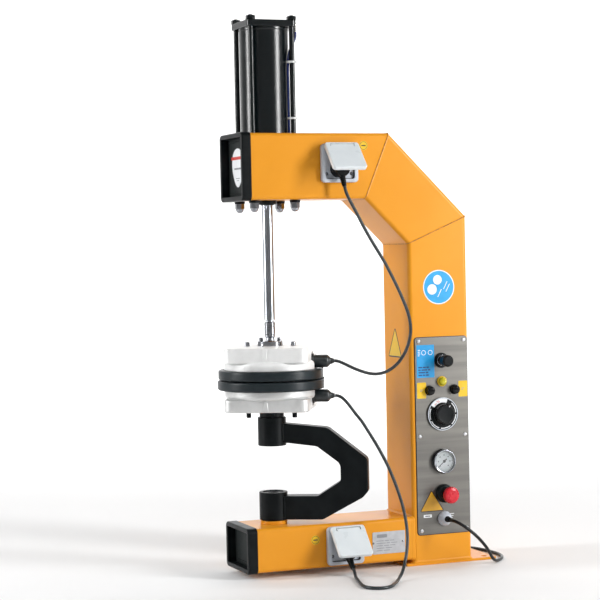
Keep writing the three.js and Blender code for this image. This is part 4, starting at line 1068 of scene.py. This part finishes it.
def build_panel_labels():
    face = outward(0, 0, PANEL_FACE)
    flat_label("blue_label", rectangle(45, 76, 1, 37.5, 474), face, BLUE_FILM)
    round_marks = [shifted(ring_block(4.6, 5.8, 0, 0.12, 32), x, 494, 0.26) for x in (33, 50)]
    piece("blue_label_rings", [side_by_side(round_marks)], WHITE_FILM, place=face)
    rows = icon_rows(18, 500, 7, [(1,), (0.8,), (1,), (0.7,)], 1.8, 4.2)
    bars("blue_label_print", rows, face, WHITE_FILM)
    rows = icon_rows(18, 460, 38, [(0.3, 0.25, 0.2), (0.2, 0.45, 0.2), (0.5, 0.2), (0.3, 0.2, 0.25)], 3.2, 6)
    bars("blue_label_fine_print", rows, face, NAVY_FILM)
    for name, x in (("left", 26.5), ("right", 132.5)):
        flat_label(f"yellow_label_{name}", rectangle(23, 37, 2, x, 406.5), face, YELLOW_FILM)
        bars(f"yellow_label_{name}_print", icon_rows(x - 5, 408, 10, [(1,), (0.6,)], 1.4, 3.2), face,
            GREY_INK)

    triangle_label("triangle", [(16, 124, 3), (79, 124, 3), (46.6, 175, 3)], 2.0, face, AMBER_FILM)
    flat_label("small_white_label", rectangle(21, 7, 0.8, 36, 114), face, WHITE_FILM)
    bars("small_white_label_print", [(36, 114, 13, 2)], face, BLACK_INK)
    bars("small_mark_right", [(98, 116, 12, 1.4), (98, 111, 8, 1.4), (98, 106.5, 4, 1.4)], face, WHITE_FILM,
        lift=0.02)


# ---------------------------------------------------------------- labels on the frame
def forward(y, z, x=0.0):
    """Local z points out of the column's front face, local y up and local x towards the operator's side."""
    return offset(x, y, z) @ about_z(-90) @ quarter_turn("X")


def build_frame_labels():
    triangle_label("column_triangle", [(-48, 481, 4), (29, 481, 4), (-7, 553, 4)], 3.0, forward(0, 0),
        YELLOW_FILM)

    side = outward(76, 645)
    flat_label("round_badge", circle(40, 96), side, SKY_FILM, height=0.3)
    ring = ring_block(37.6, 39.8, 0.28, 0.42)
    discs = [prism(circle(r, 48, x, y), 0.28, 0.42) for r, x, y in ((11, -3, 17), (12, -17, -5))]
    dashes = [moved(prism(rectangle(20, 1.6), 0.28, 0.42), offset(x, y, 0) @ about_z(62))
        for x, y in ((2, -14), (17, 4), (23, -2))]
    piece("round_badge_marks", [side_by_side([ring, *discs, *dashes])], WHITE_FILM, place=side)

    for name, x, z in (("upper", -106.7, 973), ("lower", -244.5, 79.7)):
        spot = outward(x, z)
        flat_label(f"{name}_round_label", circle(10.5, 64), spot, YELLOW_FILM)
        piece(f"{name}_round_label_ring", [ring_block(8.4, 9.2, 0.25, 0.36, 48)], BLACK_INK, place=spot)
        bars(f"{name}_round_label_print", [(0, 0, 11, 2.4)], spot, BLACK_INK, lift=0.27)
    build_rating_plate()


def build_rating_plate():
    face = outward(0, 0)
    flat_label("rating_plate", rectangle(82, 51, 3, -63, 60.5), face, PLATE, height=0.8, lift=0)
    lines = [(0.34, 0.2, 0.2), (0.42, 0.15, 0.3), (0.3, 0.24, 0.24), (0.36, 0.3), (0.28, 0.3)]
    bars("rating_plate_print", icon_rows(-96, 65.4, 64, lines, 1.5, 5.6), face, GREY_INK, lift=0.8)
    bars("rating_plate_mark", [(-80, 76.5, 26, 8)], face, GREY_INK, lift=0.8)
    for i, x in enumerate((-101.5, -28.5), 1):
        rivet = lathe([(0, 0.5), (2.4, 0.5), (2.4, 1.0, 0.3), (1.2, 2.1, 1.2), (0, 2.2)], 32)
        piece(f"rating_plate_rivet_{i}", [rivet], ZINC, place=outward(x, 60.6))


def build_cap_badge():
    """Oval plate on the upper cap's sunk panel."""
    place = forward(0, 0, UPPER_CAP["seat"])
    centre = (UPPER_Z + UPPER_TOP) / 2
    angles = [2 * pi * k / 96 for k in range(96)]
    oval = [(-5 + (36 + 9 * sin(a)) * cos(a), centre + 44 * sin(a)) for a in angles]
    flat_label("oval_badge", oval, place, WHITE_FILM, height=0.8, lift=0.0)
    bars("oval_badge_band", [(-5, centre + 22, 84, 7)], place, RED_FILM, lift=0.8)
    bars("oval_badge_print", [(-5, centre - 2, 44, 4), (-5, centre - 24, 26, 1.6),
        (-5, centre - 29, 16, 1.6)], place, GREY_INK, lift=0.8)


# ---------------------------------------------------------------- sockets, lids and plugs
BOOTS = {"upper": {"aside": -2, "start": (-1.5, -11.3, 26.7), "way": (0.15, -0.968, 0.2)},
    "lower": {"aside": 0, "start": (-1.1, -14.6, 32.6), "way": (-0.03, -0.63, 0.77)}}
LID_OPEN = radians(43)


def build_socket(side, x, z):
    at = outward(x, z, -HALF - 0.3)
    boot = BOOTS[side]
    base = prism(rectangle(90, 88, 9), 0, 12, edge=3.6, steps=5)
    wall = prism(circle(28), -30, 1)
    plug_hole = circle(20, 64, boot["aside"], -SOCKET_BORE_DROP)
    cuts = [prism(rectangle(72, 72, 6), 5, 20), prism(plug_hole, -22, 6),
        *[prism(circle(4.6, 32, i * 30, -24), 2.2, 6) for i in (-1, 1)]]
    lugs = [moved(prism(circle(5.2, 40), 0, 7, edge=0.8), offset(i * 36 - 3.5, 39, 14.6) @ quarter_turn("Y"))
        for i in (-1, 1)]
    piece(f"{side}_socket_base", [base, shifted(wall, 0, -SOCKET_BORE_DROP)], GREY_PLASTIC, place=at,
        replaces=[f"{side}_socket"], cuts=cuts)
    piece(f"{side}_socket_lugs", [side_by_side(lugs)], GREY_PLASTIC, place=at)
    for i, hand in ((-1, "left"), (1, "right")):
        dome, cross = pan_screw(3.6, 2.2)
        piece(f"{side}_socket_screw_{hand}", [dome], ZINC, place=at @ offset(i * 30, -24, 2.2), cuts=cross)
    section = ((72, 6, 5.02), (72, 6, 6.6), (69, 5, 6.6), (69, 5, 5.02))
    gasket = stack([level(rectangle(w, w, r), h) for w, r, h in section], closed=True)
    piece(f"{side}_socket_seal", [gasket], GREY_PANEL, place=at)

    hinge = at @ offset(0, 39, 16) @ Matrix.Rotation(-LID_OPEN, 4, "X")
    shell = prism(rectangle(82, 81, 7, 0, -37.5), -2, 9, edge=2.6, steps=5)
    inside = prism(rectangle(77, 73.5, 5, 0, -38.75), -6, 6.5)
    slots = ((60, 3.2, 0, -3.2), (2.4, 9, -29, -6), (2.4, 9, 29, -6))
    groove = [prism(rectangle(w, h, 0.6, x, y), 5.5, 12) for w, h, x, y in slots]
    piece(f"{side}_lid", [shell], WHITE_PLASTIC, f"{side}_lid", place=hinge, replaces=[f"{side}_socket_lid"],
        cuts=[inside, *groove])
    pin = moved(lathe([(0, -36), (1.9, -36, 0.4), (1.9, 36, 0.4), (0, 36)], 32), quarter_turn("Y"))
    piece(f"{side}_lid_pin", [pin], ZINC, f"{side}_lid", place=hinge)
    return build_plug(side, at, boot)


def build_plug(side, at, boot):
    place = at @ offset(boot["aside"], -SOCKET_BORE_DROP)
    end = 36.7
    shell = fluted([(0, -18), (19, -18, 1), (19, end - 7, 3), (16.5, end - 1.6, 2), (14, end, 1), (0, end)],
        24, 0.5, 17)
    body = piece(f"{side}_plug_body", [shell], BLACK_PLASTIC, place=place, replaces=[f"{side}_plug"])
    turn = Vector((0, 0, 1)).rotation_difference(Vector(boot["way"]).normalized()).to_matrix().to_4x4()
    grips = ribs(6, 7.4, 4.4, -0.36, 4.0, 0.4, 1.0, (2.4, 2.9, 3.6))
    profile = [(0, 0), (8.2, 0, 0.5), (8.2, 3.4, 0.8), *grips, (5.0, 28.6, 0.3), (5.0, 30, 0.4), (0, 30)]
    boot_place = place @ Matrix.Translation(boot["start"]) @ turn
    relief = piece(f"{side}_plug_boot", [lathe(profile, 48)], BLACK_PLASTIC, place=boot_place)
    return [body, relief]


# ---------------------------------------------------------------- cords
UPPER_LEAD = [(-0.1689, -0.1081, 0.8792), (-0.1674, -0.1096, 0.8695), (-0.163, -0.1108, 0.8575),
    (-0.155, -0.112, 0.841), (-0.143, -0.114, 0.818), (-0.129, -0.116, 0.79), (-0.113, -0.118, 0.761),
    (-0.095, -0.12, 0.731), (-0.079, -0.121, 0.705), (-0.066, -0.121, 0.681), (-0.053, -0.121, 0.656),
    (-0.041, -0.12, 0.632), (-0.031, -0.119, 0.61), (-0.022, -0.117, 0.588), (-0.0165, -0.115, 0.567),
    (-0.015, -0.113, 0.546), (-0.018, -0.11, 0.524), (-0.025, -0.107, 0.503), (-0.036, -0.104, 0.484),
    (-0.051, -0.101, 0.468), (-0.069, -0.098, 0.457), (-0.089, -0.096, 0.452), (-0.108, -0.0935, 0.453),
    (-0.126, -0.0915, 0.458), (-0.141, -0.0885, 0.464), (-0.1535, -0.085, 0.47), (-0.165, -0.0805, 0.4763),
    (-0.174, -0.0758, 0.4811), (-0.1805, -0.0721, 0.4837), (-0.1867, -0.06875, 0.4845)]
LOWER_LEAD = [(-0.176, -0.1314, 0.0167), (-0.1765, -0.1385, 0.0113), (-0.1795, -0.15, 0.006),
    (-0.185, -0.167, 0.004), (-0.193, -0.195, 0.004), (-0.203, -0.232, 0.004), (-0.21, -0.262, 0.004),
    (-0.211, -0.282, 0.004), (-0.204, -0.299, 0.004), (-0.19, -0.309, 0.004), (-0.173, -0.309, 0.004),
    (-0.158, -0.3, 0.004), (-0.143, -0.281, 0.004), (-0.126, -0.257, 0.004), (-0.11, -0.236, 0.008),
    (-0.095, -0.219, 0.017), (-0.082, -0.204, 0.033), (-0.072, -0.193, 0.054), (-0.065, -0.183, 0.078),
    (-0.061, -0.173, 0.104), (-0.0605, -0.163, 0.132), (-0.063, -0.153, 0.16), (-0.068, -0.144, 0.187),
    (-0.075, -0.135, 0.215), (-0.084, -0.127, 0.243), (-0.095, -0.119, 0.27), (-0.107, -0.111, 0.296),
    (-0.12, -0.103, 0.321), (-0.133, -0.0955, 0.345), (-0.145, -0.089, 0.3625), (-0.156, -0.0845, 0.379),
    (-0.165, -0.0802, 0.3917), (-0.173, -0.076, 0.4002), (-0.18, -0.0723, 0.4042),
    (-0.1863, -0.06895, 0.4054)]
MAINS_LEAD = [(0.079, -0.1096, 0.106), (0.0792, -0.119, 0.1062), (0.0805, -0.13, 0.1058),
    (0.086, -0.1435, 0.102), (0.096, -0.153, 0.094), (0.109, -0.1573, 0.083), (0.122, -0.1572, 0.0715),
    (0.137, -0.154, 0.057), (0.153, -0.147, 0.04), (0.167, -0.138, 0.022), (0.18, -0.128, 0.0095),
    (0.193, -0.117, 0.0046), (0.207, -0.104, 0.004), (0.221, -0.087, 0.004), (0.232, -0.066, 0.004),
    (0.238, -0.042, 0.004), (0.239, -0.014, 0.004), (0.237, 0.016, 0.004), (0.232, 0.046, 0.004),
    (0.222, 0.074, 0.004), (0.205, 0.096, 0.004), (0.185, 0.109, 0.004), (0.165, 0.115, 0.004),
    (0.149, 0.116, 0.004)]
COIL_X, COIL_Y = 0.120, 0.165
# The coil's turns, clockwise from its foremost point: (degrees, radius, height), eased from one to the next.
COIL_KEYS = [(0, 0.049, 0.004), (300, 0.049, 0.004), (360, 0.0415, 0.004), (660, 0.0415, 0.004),
    (720, 0.034, 0.004), (960, 0.034, 0.004), (1020, 0.034, 0.0115), (1260, 0.034, 0.0115),
    (1320, 0.0415, 0.0115), (1620, 0.0415, 0.0115), (1680, 0.049, 0.0115), (1920, 0.049, 0.0115),
    (1980, 0.049, 0.019), (2240, 0.049, 0.019), (2300, 0.0565, 0.019), (2325, 0.0565, 0.019)]


def coil_turns(step=15):
    points = []
    for (a0, r0, z0), (a1, r1, z1) in zip(COIL_KEYS, COIL_KEYS[1:]):
        count = max(1, round((a1 - a0) / step))
        for k in range(count):
            t = k / count
            ease = t * t * (3 - 2 * t)
            angle = radians(-90 - (a0 + (a1 - a0) * t))
            r, z = r0 + (r1 - r0) * ease, z0 + (z1 - z0) * ease
            points.append((COIL_X + r * cos(angle), COIL_Y + r * sin(angle), z))
    return points[1:]


def lead(name, route, material, body, nodes):
    """A free cord along a route in metres: its smooth tube, in place of the nodes it replaces."""
    path = smooth_route([Vector(point) / MM for point in route])
    made = piece(name, [sweep(path, LEAD_D / 2, 16)], material, body, replaces=nodes)
    return made


def build_cords():
    upper = lead("upper_platen_lead", UPPER_LEAD, SHEATH, None, ["upper_lead"])
    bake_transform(upper)
    lower = lead("lower_platen_lead", LOWER_LEAD, SHEATH, None, ["lower_lead"])
    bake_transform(lower)

    mains_plug = build_mains_plug()
    tail = [(0.130, 0.2194, 0.0191), (0.140, 0.216, 0.0192), (0.1483, 0.2141, 0.0193)]
    route = [*MAINS_LEAD[:-1], *coil_turns(), *tail]
    lead("mains_cord", route, BLACK_SHEATH, "frame", ["mains_lead", "mains_coil"])


def build_mains_plug():
    place = offset(148.5, 214, 19.3) @ quarter_turn("Y")
    grips = ribs(6, 5.4, 2, 0.36, 4.2, 0.4, 0.9, (2.6, 3.0, 3.8))
    profile = [(0, 0), (4.9, 0, 0.4), *grips, (7.4, 27.4), (11, 29.5, 2), (17, 36, 4), (19, 42, 3),
        (19, 66, 1), (18, 67, 0.6), (0, 67)]
    body = piece("mains_plug_body", [lathe(profile, 96)], BLACK_PLASTIC, place=place, replaces=["mains_plug"])
    pins = [shifted(lathe([(0, 66), (2.4, 66), (2.4, 83, 1), (1.4, 85, 0.8), (0, 85)], 32), x)
        for x in (-9.5, 9.5)]
    prongs = piece("mains_plug_pins", [side_by_side(pins)], ZINC, place=place)
    coil_y = COIL_Y / MM
    strands_x = COIL_X / MM - 41.5
    band = rectangle(25.2, 22.9, 3, strands_x, 11.47)
    hole = rectangle(24.0, 22.5, 2.5, strands_x, 11.5)
    low, high = coil_y - 3, coil_y + 3
    section = ((band, low), (band, high), (hole, high), (hole, low))
    loops = [[(x, y, z) for x, z in outline] for outline, y in section]
    tie = piece("coil_tie", [stack(loops, closed=True)], BLACK_PLASTIC)
    return [body, prongs, tie]


def finish_kept_nodes():
    """The piston is the one CAD node that stays; it gets its finish on its own slots."""
    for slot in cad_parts["piston"].material_slots:
        slot.link = "OBJECT"
        slot.material = MACHINED


# ---------------------------------------------------------------- everything
place_camera()
studio()
relief = build_mains_gland()
upper_plug = build_socket("upper", *UPPER_SOCKET)
lower_plug = build_socket("lower", *LOWER_SOCKET)
build_cords()
build_column()
build_lower_arm()
build_foot()
build_end_cap("upper", UPPER_CAP, UPPER_Z, UPPER_TOP)
build_end_cap("lower", LOWER_CAP, LOWER_Z, LOWER_TOP)
build_cap_badge()
build_cylinder()
build_tie_rods()
build_air_line()
build_ram()
build_platen("upper", "ram", 120, PLATEN)
build_platen("lower", "swing_arm", 122, PLATEN @ FLIPPED)
build_gooseneck()
build_panel_plate()
build_valve()
build_lamp()
build_fuse("left", -1)
build_fuse("right", 1)
build_timer()
build_gauge()
build_stop()
build_panel_labels()
build_frame_labels()
finish_kept_nodes()
